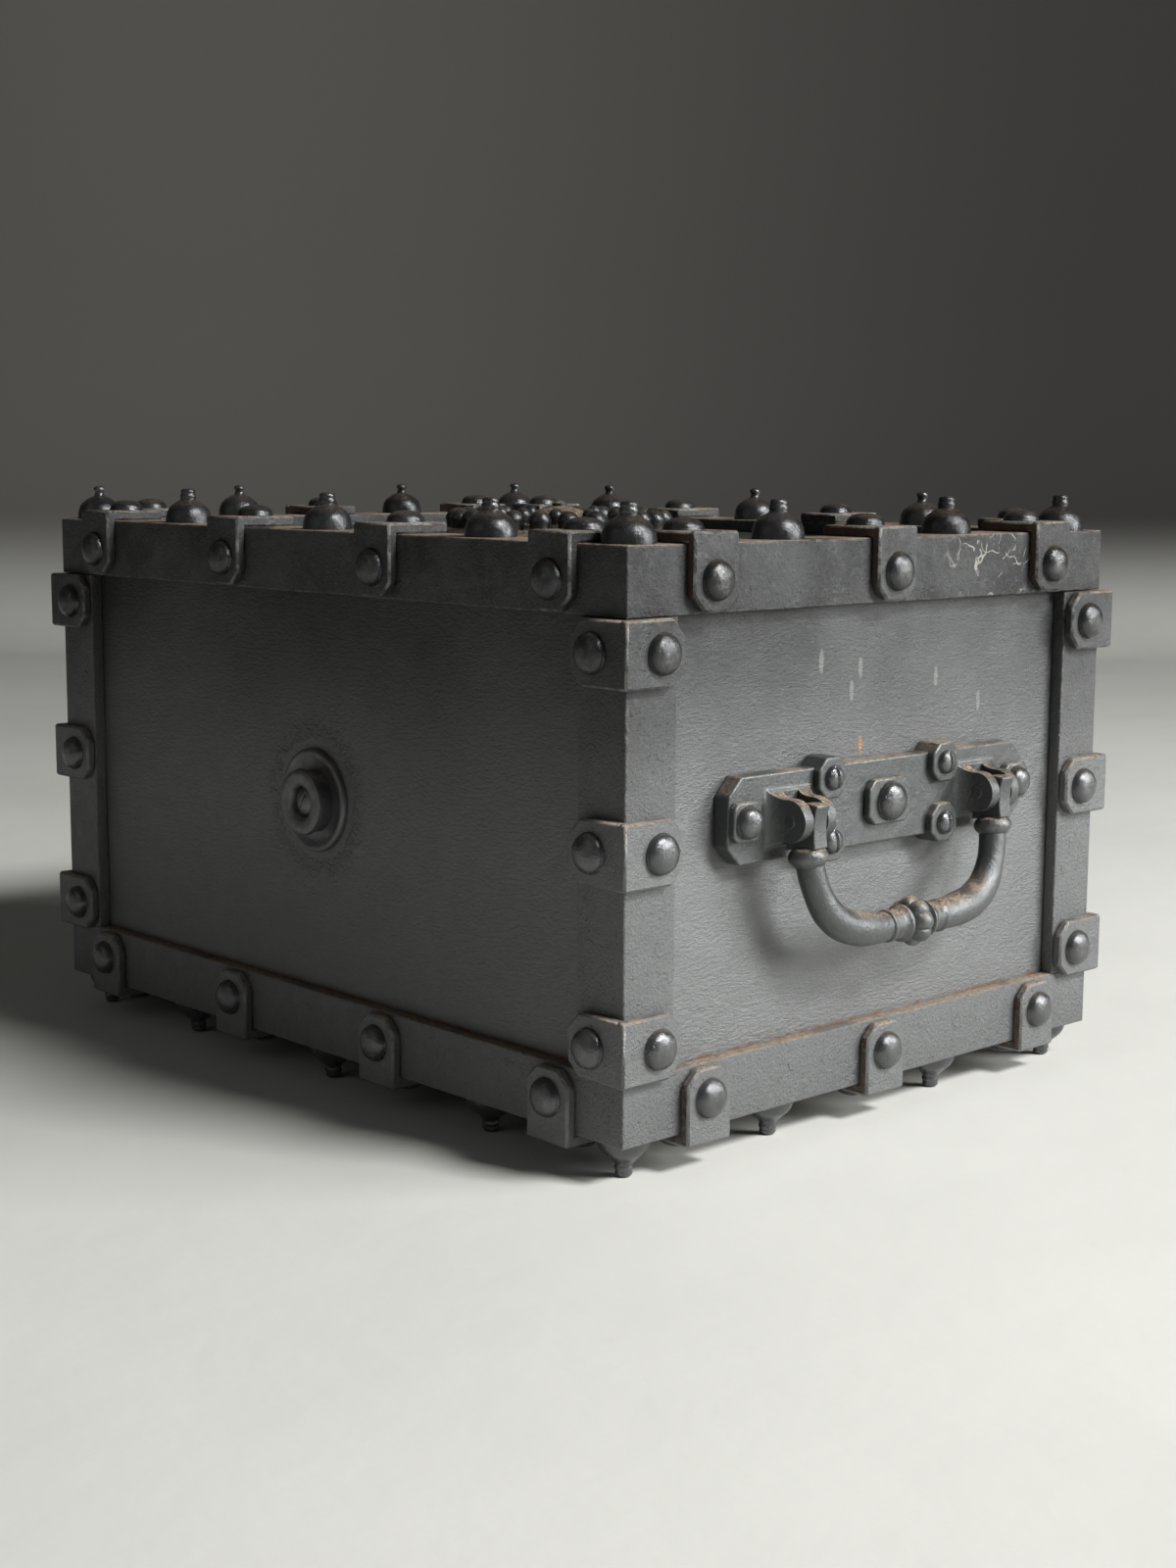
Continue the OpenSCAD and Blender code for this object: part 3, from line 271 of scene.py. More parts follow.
GROUPS = {
    "strongbox_irons": StrongboxIrons,
    "strongbox_clips": StrongboxClips,
    "strongbox_studs": StrongboxStuds,
    "strongbox_boss": StrongboxBoss,
    "strongbox_handle": StrongboxHandle,
    "strongbox_ornament": StrongboxOrnament,
    "strongbox_finish": StrongboxFinish,
}


# Materials

def node(tree, kind, links=None, **settings):
    """Adds a node. Settings are its attributes; links maps an input's name or number to a value or socket."""
    made = tree.nodes.new(kind)
    for key, value in settings.items():
        setattr(made, key, value)
    for key, value in (links or {}).items():
        socket = made.inputs[key]
        if isinstance(value, bpy.types.NodeSocket):
            tree.links.new(value, socket)
        else:
            socket.default_value = value
    return made


def per_mm(size):
    """Scale of a noise whose grains are about this many millimetres, on coordinates in metres."""
    return 1 / (size * MM)


def grain(tree, where, size, detail=3.0, rough=0.55, stretch=None):
    """Noise with grains of a size in millimetres. Stretch makes them longer along x, y or z."""
    if stretch:
        scales = [1 / s for s in stretch]
        where = node(tree, "ShaderNodeMapping", {"Vector": where, "Scale": scales}).outputs[0]
    made = node(tree, "ShaderNodeTexNoise", {
        "Vector": where, "Scale": per_mm(size), "Detail": detail, "Roughness": rough,
    })
    return made.outputs["Fac"]


def ramp(tree, value, low, high, to_low=0.0, to_high=1.0):
    """A smooth way from one value to another while the input goes from low to high, or down to high."""
    made = node(tree, "ShaderNodeMapRange", {
        "Value": value, "From Min": low, "From Max": high, "To Min": to_low, "To Max": to_high,
    }, interpolation_type="SMOOTHSTEP")
    return made.outputs["Result"]


def patches(tree, where, size, detail, rough, low, high, to_low=0.0, to_high=1.0):
    """Soft-edged patches of noise: grains of a size in millimetres, cut between two of its values."""
    return ramp(tree, grain(tree, where, size, detail, rough), low, high, to_low, to_high)


def both(tree, *masks):
    """Where all of the masks hold: their product."""
    made = masks[0]
    for mask in masks[1:]:
        made = node(tree, "ShaderNodeMath", {0: made, 1: mask}, operation="MULTIPLY").outputs[0]
    return made


def either(tree, a, b):
    """Where at least one of the masks holds: the greater of the two."""
    return node(tree, "ShaderNodeMath", {0: a, 1: b}, operation="MAXIMUM").outputs[0]


def blend_colour(tree, mask, a, b):
    """Colour a where the mask is 0 and colour b where it is 1."""
    made = node(tree, "ShaderNodeMix", {"Factor": mask}, data_type="RGBA")
    for name, value in (("A", a), ("B", b)):
        socket = [s for s in made.inputs if s.name == name and s.type == "RGBA"][0]
        if isinstance(value, bpy.types.NodeSocket):
            tree.links.new(value, socket)
        else:
            socket.default_value = (*value, 1)
    return [s for s in made.outputs if s.type == "RGBA"][0]


def bump(tree, height, depth, under=None):
    """Bump of a real depth in millimetres, over another bump."""
    links = {"Height": height, "Distance": depth * MM, "Strength": 1.0}
    if under is not None:
        links["Normal"] = under
    return node(tree, "ShaderNodeBump", links).outputs["Normal"]


def shade(colour, factor):
    """A lighter or darker shade of a colour."""
    return tuple(min(1.0, c * factor) for c in colour)


def new_material(name):
    material = bpy.data.materials.new(name)
    material.use_nodes = True
    tree = material.node_tree
    tree.nodes.clear()
    where = node(tree, "ShaderNodeTexCoord")
    return material, tree, where.outputs["Object"], where.outputs["Normal"]


def close_material(tree, colour, roughness, normal, metallic=0.0, specular=0.5):
    shader = node(tree, "ShaderNodeBsdfPrincipled", {
        "Base Color": colour, "Roughness": roughness, "Normal": normal,
        "Metallic": metallic, "Specular IOR Level": specular,
    })
    node(tree, "ShaderNodeOutputMaterial", {"Surface": shader.outputs["BSDF"]})


def facing_up(tree, normal):
    """1 on what faces up, 0 on what stands upright, in the piece's own frame."""
    up = node(tree, "ShaderNodeSeparateXYZ", {"Vector": normal}).outputs["Z"]
    return ramp(tree, up, 0.5, 0.9)


def rub_mark(tree):
    """The piece's own rub attribute: 1 on edges and tops that hands reach, -1 on a clip's flanks."""
    return node(tree, "ShaderNodeAttribute", attribute_name="rub", attribute_type="GEOMETRY").outputs["Fac"]


def rubbed(tree, where):
    """Edges and tops that hands have rubbed, broken up by noise; on the clips it also paints the highlights
    along their edges.
    """
    return both(tree, rub_mark(tree), patches(tree, where, 7, 5, 0.65, 0.4, 0.62))


def flank_rust_and_shade(tree, where, normal):
    """Darkened rust on a clip's flanks that face the front, the side the lamps do not reach, in patches:
    partly rust in the corners, partly painted shade.
    """
    front = node(tree, "ShaderNodeSeparateXYZ", {"Vector": normal}).outputs["Y"]
    flank = both(tree, ramp(tree, rub_mark(tree), -0.2, -0.8), ramp(tree, front, -0.4, -0.8))
    return both(tree, flank, patches(tree, where, 4, 5, 0.75, 0.36, 0.58))


def specks(tree, where, size, rarity):
    """Small sharp spots, the rarer the nearer rarity comes to 1."""
    return patches(tree, where, size, 3, 0.6, rarity, rarity + 0.03)


def rust_and_dust(tree, where, normal, colour, finish, rust, dust):
    """Dust and rust that gather on ledges, thicker in patches, with a few rust freckles elsewhere.

    Gives the colour, and how much of the metal they cover.
    """
    ledge = both(tree, facing_up(tree, normal), patches(tree, where, 38, 3, 0.55, 0.3, 0.55))
    clumps = patches(tree, where, 1.9, 5, 0.85, 0.42, 0.54)
    broken = patches(tree, where, 6, 4, 0.7, 0.36, 0.56)
    freckles = both(tree, specks(tree, where, 3.4, 0.7), rust * 0.5)
    rusty = either(tree, both(tree, ledge, broken, rust), freckles)
    dusty = both(tree, ledge, clumps, dust)
    colour = blend_colour(tree, rusty, colour, finish.rust)
    return blend_colour(tree, dusty, colour, finish.dust), either(tree, rusty, dusty)


def floor_reflection_paint(tree, where, colour, base, paler):
    """Painted reflection of the bright floor: the colour is painted paler the lower it is, as if the floor
    shone in the iron.
    """
    height = node(tree, "ShaderNodeSeparateXYZ", {"Vector": where}).outputs["Z"]
    low_down = ramp(tree, height, TOP_Z - 30 * MM, 150 * MM, 0, 0.85)
    return blend_colour(tree, low_down, colour, shade(base, paler))


def distance(tree, where, centre, size):
    """How far a point is from a centre, counted in a size that may differ along x, y and z."""
    off = node(tree, "ShaderNodeVectorMath", {0: where, 1: centre}, operation="SUBTRACT").outputs[0]
    off = node(tree, "ShaderNodeVectorMath", {0: off, 1: size}, operation="DIVIDE").outputs[0]
    return node(tree, "ShaderNodeVectorMath", {0: off}, operation="LENGTH").outputs["Value"]


def within(tree, where, centre, size):
    """1 near a place on the box, fading out at about the size, in metres."""
    return ramp(tree, distance(tree, where, centre, size), 1.0, 0.6)


def scratches(tree, where, size, width):
    """Thin wandering lines, where a noise crosses its middle value."""
    value = grain(tree, where, size, 2, 0.5)
    off = node(tree, "ShaderNodeMath", {0: value, 1: 0.5}, operation="SUBTRACT").outputs[0]
    off = node(tree, "ShaderNodeMath", {0: off}, operation="ABSOLUTE").outputs[0]
    return ramp(tree, off, width, width * 0.4)


def old_ring(tree, where):
    """A broken raised ring of old paint, a little wider than the front boss, in wandering crumbs."""
    low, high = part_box("boss_ring")
    radius = (high.z - low.z) / 2
    away = distance(tree, where, (0, low.y, (low.z + high.z) / 2), (radius, radius, radius))
    band = both(tree, ramp(tree, away, 1.12, 1.25), ramp(tree, away, 1.75, 1.3))
    depth = node(tree, "ShaderNodeSeparateXYZ", {"Vector": where}).outputs["Y"]
    outer_face = ramp(tree, depth, panel_low.y + 3 * MM, panel_low.y + 1 * MM)
    return both(tree, band, patches(tree, where, 5, 4, 0.7, 0.42, 0.6), outer_face)


# Drips on the right panel, in mm: how far back, how high, half their width and half their length.
# Five pale ones, and an orange one over the handle
DRIPS = [
    (-45, 256, 2.2, 8), (-13, 251, 2, 7), (-20, 239, 2, 7), (52, 242, 2, 7), (91, 226, 2, 7),
]
STREAK = (-12, 209, 1.5, 6)


def drip_mask(tree, where, y, z, wide, long):
    """1 on a drip, and only near the outer face, so that the inside of the box stays clean."""
    place = (HALF_LENGTH - IRON_T, y * MM, z * MM)
    return within(tree, where, place, (4 * MM, wide * MM, long * MM))


def panel_paint(finish):
    """Black paint brushed on cast plate: semi-matt, with long wrinkles from the brush and pale drips, and a
    painted reflection of the floor that makes it paler low down.
    """
    material, tree, where, normal = new_material("brushed black paint on cast iron plate")
    wander = node(tree, "ShaderNodeMapping", {"Vector": where, "Rotation": (0.09, 0.09, 0)}).outputs[0]
    strokes = grain(tree, wander, 1.5, 3, 0.6, stretch=(7, 7, 1))
    wrinkles = grain(tree, where, 1.7, 4, 0.75, stretch=(2, 2, 1))
    pits = patches(tree, where, 2.6, 2, 0.55, 0.68, 0.76)
    dents = grain(tree, where, 34, 2)
    clouds = patches(tree, where, 110, 4, 0.55, 0.35, 0.65)
    colour = blend_colour(tree, clouds, shade(finish.panel, 0.75), shade(finish.panel, 1.2))
    # painted reflection of the floor: paler low down
    colour = floor_reflection_paint(tree, where, colour, finish.panel, 3.0)
    colour = blend_colour(tree, ramp(tree, strokes, 0.52, 0.78, 0, 0.25), colour, shade(finish.panel, 1.9))
    height = node(tree, "ShaderNodeSeparateXYZ", {"Vector": where}).outputs["Z"]
    low_edge = ramp(tree, height, BASE_Z + LEG + 2.6 * MM, BASE_Z + LEG + 0.2 * MM)
    rusty = both(tree, low_edge, patches(tree, where, 9, 4, 0.65, 0.4, 0.6))
    colour = blend_colour(tree, rusty, colour, finish.rust)
    for drip in DRIPS:
        colour = blend_colour(tree, both(tree, drip_mask(tree, where, *drip), 0.28), colour, finish.drip)
    colour = blend_colour(tree, both(tree, drip_mask(tree, where, *STREAK), 0.8), colour, finish.streak)
    colour = blend_colour(tree, both(tree, specks(tree, where, 2.8, 0.74), 0.6), colour, finish.speck)
    relief = None
    ring = old_ring(tree, where)
    for height, depth in ((dents, 1.6), (wrinkles, 1.0), (strokes, 0.25), (pits, 0.3), (ring, 0.9)):
        relief = bump(tree, height, depth, relief)
    roughness = patches(tree, where, 26, 5, 0.6, 0.3, 0.7, 0.42, 0.56)
    close_material(tree, colour, roughness, relief, ramp(tree, rusty, 0, 1, 0.75, 0))
    return material


def cast_finish(finish, name, base, *, grain_depth, gloss, rust, dust, wear, scratched=0.0, paler=3.0):
    """The layers that all the blackened castings share, from the sand of the mould to the dust of today.

    The depth of the grain is in millimetres, gloss is the least roughness, and rust, dust, wear and scratched
    say how much of each shows, from 0 to 1. Paler is how much the colour gains near the floor, as a painted
    reflection of the bright floor.
    """
    material, tree, where, normal = new_material(name)
    clouds = patches(tree, where, 48, 4, 0.55, 0.35, 0.65)
    colour = blend_colour(tree, clouds, shade(base, 0.75), shade(base, 1.25))
    # painted reflection of the floor: paler low down
    colour = floor_reflection_paint(tree, where, colour, base, paler)
    mottle = patches(tree, where, 3.6, 5, 0.7, 0.5, 0.72, 0, 0.55)
    colour = blend_colour(tree, mottle, colour, shade(base, 2.0))
    colour, cover = rust_and_dust(tree, where, normal, colour, finish, rust, dust)
    # darkened rust on the clips' front-facing flanks: partly rust, partly painted shade
    colour = blend_colour(tree, both(tree, flank_rust_and_shade(tree, where, normal), 0.8), colour, shade(finish.rust, 0.8))
    colour = blend_colour(tree, both(tree, rubbed(tree, where), wear), colour, finish.bare)
    if scratched:
        place = within(tree, where, (HALF_LENGTH, HALF_WIDTH - 95 * MM, TOP_Z - 15 * MM), (0.03, 0.062, 0.03))
        lines = either(tree, scratches(tree, where, 24, 0.012), scratches(tree, where, 41, 0.006))
        gaps = patches(tree, where, 8, 3, 0.55, 0.42, 0.56)
        colour = blend_colour(tree, both(tree, lines, gaps, place, scratched), colour, finish.scratch)
    relief = bump(tree, grain(tree, where, 14, 3), 0.9)
    relief = bump(tree, grain(tree, where, 1.8, 4, 0.75), grain_depth * 0.8, relief)
    pits = patches(tree, where, 3.2, 2, 0.55, 0.36, 0.28)
    relief = bump(tree, pits, -grain_depth * 0.3, relief)
    roughness = patches(tree, where, 10, 5, 0.6, 0.3, 0.7, gloss, gloss + 0.2)
    close_material(tree, colour, roughness, relief, ramp(tree, cover, 0, 0.8, 0.75, 0))
    return material


def band_iron(finish):
    """Angle iron, cast and blackened: rough and pitted, with rust on its ledges and some scratches."""
    return cast_finish(
        finish, "pitted black cast iron", finish.band,
        grain_depth=1.7, gloss=0.42, rust=0.6, dust=0.85, wear=0.4, scratched=0.9,
    )


def clip_iron(finish):
    """Forged clips, blackened: finer grain, and edges rubbed to bare iron so pale that they also stand in for
    the light their chamfers catch: partly wear, partly painted highlight.
    """
    return cast_finish(
        finish, "blackened clips with rubbed edges", finish.band,
        grain_depth=1.1, gloss=0.4, rust=0.5, dust=0.85, wear=0.9,
    )


def stud_iron(finish):
    """Domed heads, blackened and smoothed by handling, so they catch small bright lights."""
    return cast_finish(
        finish, "blackened studs smoothed by hands", finish.stud,
        grain_depth=0.3, gloss=0.2, rust=0.15, dust=0.2, wear=0.4, paler=2.4,
    )


def handle_iron(finish):
    """Handle castings with a thin blue-black skin, satin, dusty on top and browned where hands go."""
    return cast_finish(
        finish, "blue black handle iron", finish.handle,
        grain_depth=0.45, gloss=0.33, rust=0.4, dust=0.8, wear=0.5, paler=2.1,
    )


def ornament_iron(finish):
    """Cast ornament, satin black."""
    return cast_finish(
        finish, "satin black ornament iron", finish.stud,
        grain_depth=0.35, gloss=0.34, rust=0.35, dust=0.6, wear=0.4,
    )


def lock_iron(finish):
    """Lock plates left dark with oil: mill scale, a low sheen and fine file marks."""
    material, tree, where, normal = new_material("dark oiled lock steel")
    scale = patches(tree, where, 14, 4, 0.55, 0.4, 0.62)
    colour = blend_colour(tree, scale, shade(finish.steel, 0.16), shade(finish.steel, 0.3))
    colour, cover = rust_and_dust(tree, where, normal, colour, finish, 0.2, 0.1)
    colour = blend_colour(tree, both(tree, rubbed(tree, where), 0.6), colour, shade(finish.steel, 0.8))
    files = grain(tree, where, 0.7, 3, 0.6, stretch=(14, 1, 1))
    relief = bump(tree, files, 0.05, bump(tree, grain(tree, where, 5, 3), 0.08))
    roughness = patches(tree, where, 8, 4, 0.55, 0.3, 0.7, 0.3, 0.5)
    close_material(tree, colour, roughness, relief, ramp(tree, cover, 0, 0.8, 0.8, 0))
    return material


def bare_steel(finish):
    """Steel filed bright and dulled since: fine parallel scratches and a few grey spots."""
    material, tree, where, normal = new_material("filed bare steel")
    spots = patches(tree, where, 6, 5, 0.7, 0.5, 0.72)
    colour = blend_colour(tree, spots, finish.steel, shade(finish.steel, 0.45))
    relief = bump(tree, grain(tree, where, 0.5, 3, 0.6, stretch=(20, 1, 1)), 0.04)
    close_material(tree, colour, ramp(tree, spots, 0, 1, 0.28, 0.5), relief, metallic=1.0)
    return material


FINISHES = {
    "panel_iron": panel_paint,
    "angle_iron": band_iron,
    "clip_iron": clip_iron,
    "stud_iron": stud_iron,
    "handle_iron": handle_iron,
    "ornament_iron": ornament_iron,
    "lock_iron": lock_iron,
    "bare_steel": bare_steel,
}
made_finishes = {}


def finish_for(slot):
    """The material of one of the record's slots, made once."""
    if slot not in made_finishes:
        made_finishes[slot] = FINISHES[slot](bpy.context.scene.strongbox_finish)
    return made_finishes[slot]


# Making forms

def on_circle(centre, radius, degrees):
    """Points on a circle at angles in degrees."""
    turns = [math.radians(a) for a in degrees]
    return [(centre[0] + radius * math.cos(a), centre[1] + radius * math.sin(a)) for a in turns]


def rounded(outline, radii, steps=3):
    """The closed outline with its corners rounded; a radius of 0 leaves a corner sharp."""
    points = []
    for i, corner in enumerate(outline):
        radius = radii[i] if isinstance(radii, (list, tuple)) else radii
        here = Vector(corner)
        back = (Vector(outline[i - 1]) - here).normalized()
        ahead = (Vector(outline[(i + 1) % len(outline)]) - here).normalized()
        half = back.angle(ahead) / 2
        if radius <= 0 or half > math.radians(88):
            points.append(tuple(here))
            continue
        away = radius / math.tan(half)
        centre = here + (back + ahead).normalized() * (radius / math.sin(half))
        first = here + back * away - centre
        last = here + ahead * away - centre
        turn = first.angle_signed(last)
        for step in range(steps + 1):
            a = -turn * step / steps
            spun = Vector((
                first.x * math.cos(a) - first.y * math.sin(a),
                first.x * math.sin(a) + first.y * math.cos(a),
            ))
            points.append(tuple(centre + spun))
    return points


def eight_sided(width, height, cut):
    """A rectangle round the middle with its corners cut off."""
    w, h = width / 2, height / 2
    return [
        (cut - w, -h), (w - cut, -h), (w, cut - h), (w, h - cut),
        (w - cut, h), (cut - w, h), (-w, h - cut), (-w, cut - h),
    ]


def rub_layer(form):
    """The faces' wear, which the materials read as the rub attribute."""
    return form.faces.layers.float.get("rub") or form.faces.layers.float.new("rub")


def sweep(form, rings, rub=None):
    """Skins rings of points, with a cap at each end; rub gives a face's wear from its ring and place."""
    layer = rub_layer(form)
    verts = [[form.verts.new(p) for p in ring] for ring in rings]
    size = len(verts[0])
    for i, (a, b) in enumerate(zip(verts, verts[1:])):
        for j in range(size):
            k = (j + 1) % size
            face = form.faces.new((a[j], a[k], b[k], b[j]))
            face[layer] = rub(i, j) if rub else 0.0
    form.faces.new(verts[0][::-1])
    form.faces.new(verts[-1])


def prism(form, outline, low, high, matrix=Matrix()):
    """A prism over an outline in x and y."""
    sweep(form, [[matrix @ Vector((x, y, z)) for x, y in outline] for z in (low, high)])


def lathe(form, profile, steps, matrix=Matrix(), rub=None, swell=None):
    """Turns a profile of radius and height, from the axis to the axis or from a hole's wall and back."""
    layer = rub_layer(form)
    turns = [2 * math.pi * i / steps for i in range(steps)]
    rings = []
    for r, z in profile:
        if r < 1e-7:
            rings.append([form.verts.new(matrix @ Vector((0, 0, z)))])
            continue
        wide = [r * (swell(a) if swell else 1) for a in turns]
        rings.append([
            form.verts.new(matrix @ Vector((w * math.cos(a), w * math.sin(a), z))) for w, a in zip(wide, turns)
        ])
    open_ring = len(rings[0]) > 1 and len(rings[-1]) > 1
    pairs = list(zip(rings, rings[1:])) + ([(rings[-1], rings[0])] if open_ring else [])
    for index, (a, b) in enumerate(pairs):
        for j in range(steps):
            k = (j + 1) % steps
            corners = [a[j % len(a)], a[k % len(a)], b[k % len(b)], b[j % len(b)]]
            corners = [c for i, c in enumerate(corners) if c not in corners[:i]]
            face = form.faces.new(corners)
            face[layer] = rub(profile[index]) if rub else 0.0


def rubbed_top(low, high, most=0.8):
    """Wear for a lathe that grows with height, from none at low to the most at high."""
    return lambda point: most * smoothly(point[1], low, high)


def soften(form, width, angle=30, segments=2):
    """Rounds the sharp edges and marks the new faces as rubbed."""
    layer = rub_layer(form)
    bmesh.ops.recalc_face_normals(form, faces=form.faces)
    edges = [e for e in form.edges if len(e.link_faces) == 2 and e.calc_face_angle() > math.radians(angle)]
    made = bmesh.ops.bevel(
        form, geom=edges, offset=width, offset_type="OFFSET", segments=segments, profile=0.5,
        affect="EDGES", clamp_overlap=True,
    )
    for face in made["faces"]:
        face[layer] = 1.0
    for edge in form.edges:
        rubs = {face[layer] > 0.5 for face in edge.link_faces}
        if len(rubs) == 2:
            edge.smooth = False


def uneven(form, amount, size, seed=0):
    """Moves points a little, as casting and hammering do."""
    shift = Vector((seed * 3.1, seed * 1.7, seed * 2.3))
    for vert in form.verts:
        vert.co += noise.noise_vector(vert.co / size + shift) * amount


def plain_mesh(form, name):
    """The form as it is, as a mesh."""
    mesh = bpy.data.meshes.new(name)
    form.to_mesh(mesh)
    form.free()
    return mesh


def mesh_from(form, name, smooth_angle=40):
    """The form with merged points and faces outward, smooth but for its sharp edges."""
    bmesh.ops.remove_doubles(form, verts=form.verts, dist=1e-6)
    bmesh.ops.dissolve_degenerate(form, edges=form.edges, dist=1e-7)
    bmesh.ops.recalc_face_normals(form, faces=form.faces)
    for face in form.faces:
        face.smooth = True
    for edge in form.edges:
        if len(edge.link_faces) == 2 and edge.calc_face_angle() > math.radians(smooth_angle):
            edge.smooth = False
    return plain_mesh(form, name)


def add_block(form, outline, low, high, soft, matrix=Matrix(), **how):
    """Adds a prism with softened edges to a form."""
    part = bmesh.new()
    prism(part, outline, low, high, matrix)
    soften(part, soft, **how)
    mesh = plain_mesh(part, "block")
    form.from_mesh(mesh)
    bpy.data.meshes.remove(mesh)


def new_object(name, data):
    obj = bpy.data.objects.new(name, data)
    bpy.context.scene.collection.objects.link(obj)
    return obj


def finished_mesh(obj, helper):
    """The object's mesh with its modifier applied; it and its helper go."""
    bpy.context.view_layer.update()
    evaluated = obj.evaluated_get(bpy.context.evaluated_depsgraph_get())
    mesh = bpy.data.meshes.new_from_object(evaluated)
    obj.modifiers.clear()
    for used in (obj, helper):
        bpy.data.objects.remove(used)
    return mesh


def piece(mesh, node_name):
    """Puts a finished mesh in the scene in place of its CAD node, on the node's body and with its finish."""
    mesh.name = node_name
    mesh.materials.clear()
    mesh.materials.append(finish_for(node_slot(node_name)))
    obj = new_object(node_name + "_finished", mesh)
    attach(obj, node_body(node_name))
    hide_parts(node_name)


def lathed(node_name, profile, steps, place, rub, seed):
    """A turned and slightly uneven piece."""
    form = bmesh.new()
    lathe(form, profile, steps, place, rub)
    uneven(form, 0.12 * MM, 0.02, seed)
    piece(mesh_from(form, node_name), node_name)


def node_body(name):
    bodies = frame["record"]["behaviour"]["bodies"]
    return next(body for body, members in bodies.items() if name in members)


def node_slot(name):
    return next(row["material_slot"] for row in frame["record"]["subparts"] if row["node"] == name)


def dressed(name, width, angle=35):
    """A copy of a CAD node's mesh with merged points and softened edges, in place of the node."""
    source = frame["nodes"][name].data
    form = bmesh.new()
    verts = [form.verts.new(v.co) for v in source.vertices]
    for polygon in source.polygons:
        form.faces.new([verts[i] for i in polygon.vertices])
    bmesh.ops.remove_doubles(form, verts=form.verts, dist=2e-6)
    bmesh.ops.dissolve_degenerate(form, edges=form.edges, dist=1e-6)
    bmesh.ops.dissolve_limit(
        form, angle_limit=math.radians(0.6), verts=form.verts, edges=form.edges, use_dissolve_boundaries=False
    )
    soften(form, width, angle)
    piece(mesh_from(form, name), name)


# Repeating forms

def scatter_tree():
    """Sets a model on every point, turned as the point's own turn says, with a small seeded variation."""
    tree = bpy.data.node_groups.get("Set models on points")
    if tree:
        return tree
    tree = bpy.data.node_groups.new("Set models on points", "GeometryNodeTree")
    sockets = {
        "Geometry": "NodeSocketGeometry", "Model": "NodeSocketObject", "Material": "NodeSocketMaterial",
        "Size variation": "NodeSocketFloat", "Twist": "NodeSocketFloat", "Seed": "NodeSocketInt",
    }
    for name, kind in sockets.items():
        tree.interface.new_socket(name, in_out="INPUT", socket_type=kind)
    tree.interface.new_socket("Geometry", in_out="OUTPUT", socket_type="NodeSocketGeometry")
    given = node(tree, "NodeGroupInput").outputs
    model = node(tree, "GeometryNodeObjectInfo", {"Object": given["Model"]}, transform_space="ORIGINAL")
    turn = node(tree, "GeometryNodeInputNamedAttribute", {"Name": "turn"}, data_type="FLOAT_VECTOR")
    least = node(tree, "ShaderNodeMath", {0: 1.0, 1: given["Size variation"]}, operation="SUBTRACT")
    size = node(tree, "FunctionNodeRandomValue", {
        "Min": least.outputs[0], "Max": 1.0, "Seed": given["Seed"],
    }, data_type="FLOAT")
    next_seed = node(tree, "ShaderNodeMath", {0: given["Seed"], 1: 7.0}, operation="ADD")
    twist = node(tree, "FunctionNodeRandomValue", {
        "Min": 0.0, "Max": given["Twist"], "Seed": next_seed.outputs[0],
    }, data_type="FLOAT")
    about = node(tree, "ShaderNodeCombineXYZ", {"Z": twist.outputs["Value"]})
    turned = node(tree, "FunctionNodeRotateRotation", {
        "Rotation": turn.outputs["Attribute"], "Rotate By": about.outputs[0],
    }, rotation_space="LOCAL")
    placed = node(tree, "GeometryNodeInstanceOnPoints", {
        "Points": given["Geometry"], "Instance": model.outputs["Geometry"],
        "Rotation": turned.outputs[0], "Scale": size.outputs["Value"],
    })
    real = node(tree, "GeometryNodeRealizeInstances", {"Geometry": placed.outputs[0]})
    coated = node(tree, "GeometryNodeSetMaterial", {
        "Geometry": real.outputs[0], "Material": given["Material"],
    })
    node(tree, "NodeGroupOutput", {"Geometry": coated.outputs[0]})
    return tree


def scatter(name, model, places, slot, seed, size_variation, twist):
    """A plain mesh of the model at every place. Places are matrices that only move and turn."""
    points = bpy.data.meshes.new(name)
    points.from_pydata([m.translation for m in places], [], [])
    turns = points.attributes.new("turn", "FLOAT_VECTOR", "POINT")
    for value, place in zip(turns.data, places):
        value.vector = place.to_euler()
    carrier = new_object(name, points)
    source = new_object(name + "_model", model)
    modifier = carrier.modifiers.new("Models", "NODES")
    modifier.node_group = scatter_tree()
    values = {
        "Model": source, "Material": finish_for(slot), "Size variation": size_variation, "Twist": twist,
        "Seed": seed,
    }
    for item in modifier.node_group.interface.items_tree:
        if item.in_out == "INPUT" and item.name in values:
            modifier[item.identifier] = values[item.name]
    return finished_mesh(carrier, source)


def scattered(node_name, groups):
    """One piece of models on their places. A group: model, places, seed, size variation and twist."""
    form = bmesh.new()
    rub_layer(form)
    for model, places, seed, variation, twist in groups:
        made = scatter(node_name, model, places, node_slot(node_name), seed, float(variation), float(twist))
        form.from_mesh(made)
    piece(plain_mesh(form, node_name), node_name)


def combined(mesh, other, operation):
    """The mesh after a boolean with another mesh."""
    body, tool = new_object("body", mesh), new_object("tool", other)
    modifier = body.modifiers.new("Combine", "BOOLEAN")
    modifier.operation = operation
    modifier.solver = "EXACT"
    modifier.object = tool
    return finished_mesh(body, tool)


def slotted(mesh, width, half_length, low, depth, turn=Matrix()):
    """The mesh with a slot cut down to a height."""
    half = width / 2
    outline = [(-half_length, -half), (half_length, -half), (half_length, half), (-half_length, half)]
    slot = bmesh.new()
    prism(slot, outline, low, low + depth, turn)
    return combined(mesh, mesh_from(slot, "slot"), "DIFFERENCE")


# Angle irons

STATION = 6 * MM    # the greatest step between an iron's rings of points


def iron_outline(up, sizes):
    """An L in depth and height, with its outer edge, tips and inner corner rounded; up is 1 or -1."""
    corners = [(0, 0), (LEG, 0), (LEG, IRON_T), (IRON_T, IRON_T), (IRON_T, LEG), (0, LEG)]
    tip = sizes.tip_r
    return [(y, up * z) for y, z in rounded(corners, [sizes.corner_r, tip, tip, sizes.fillet_r, tip, tip])]


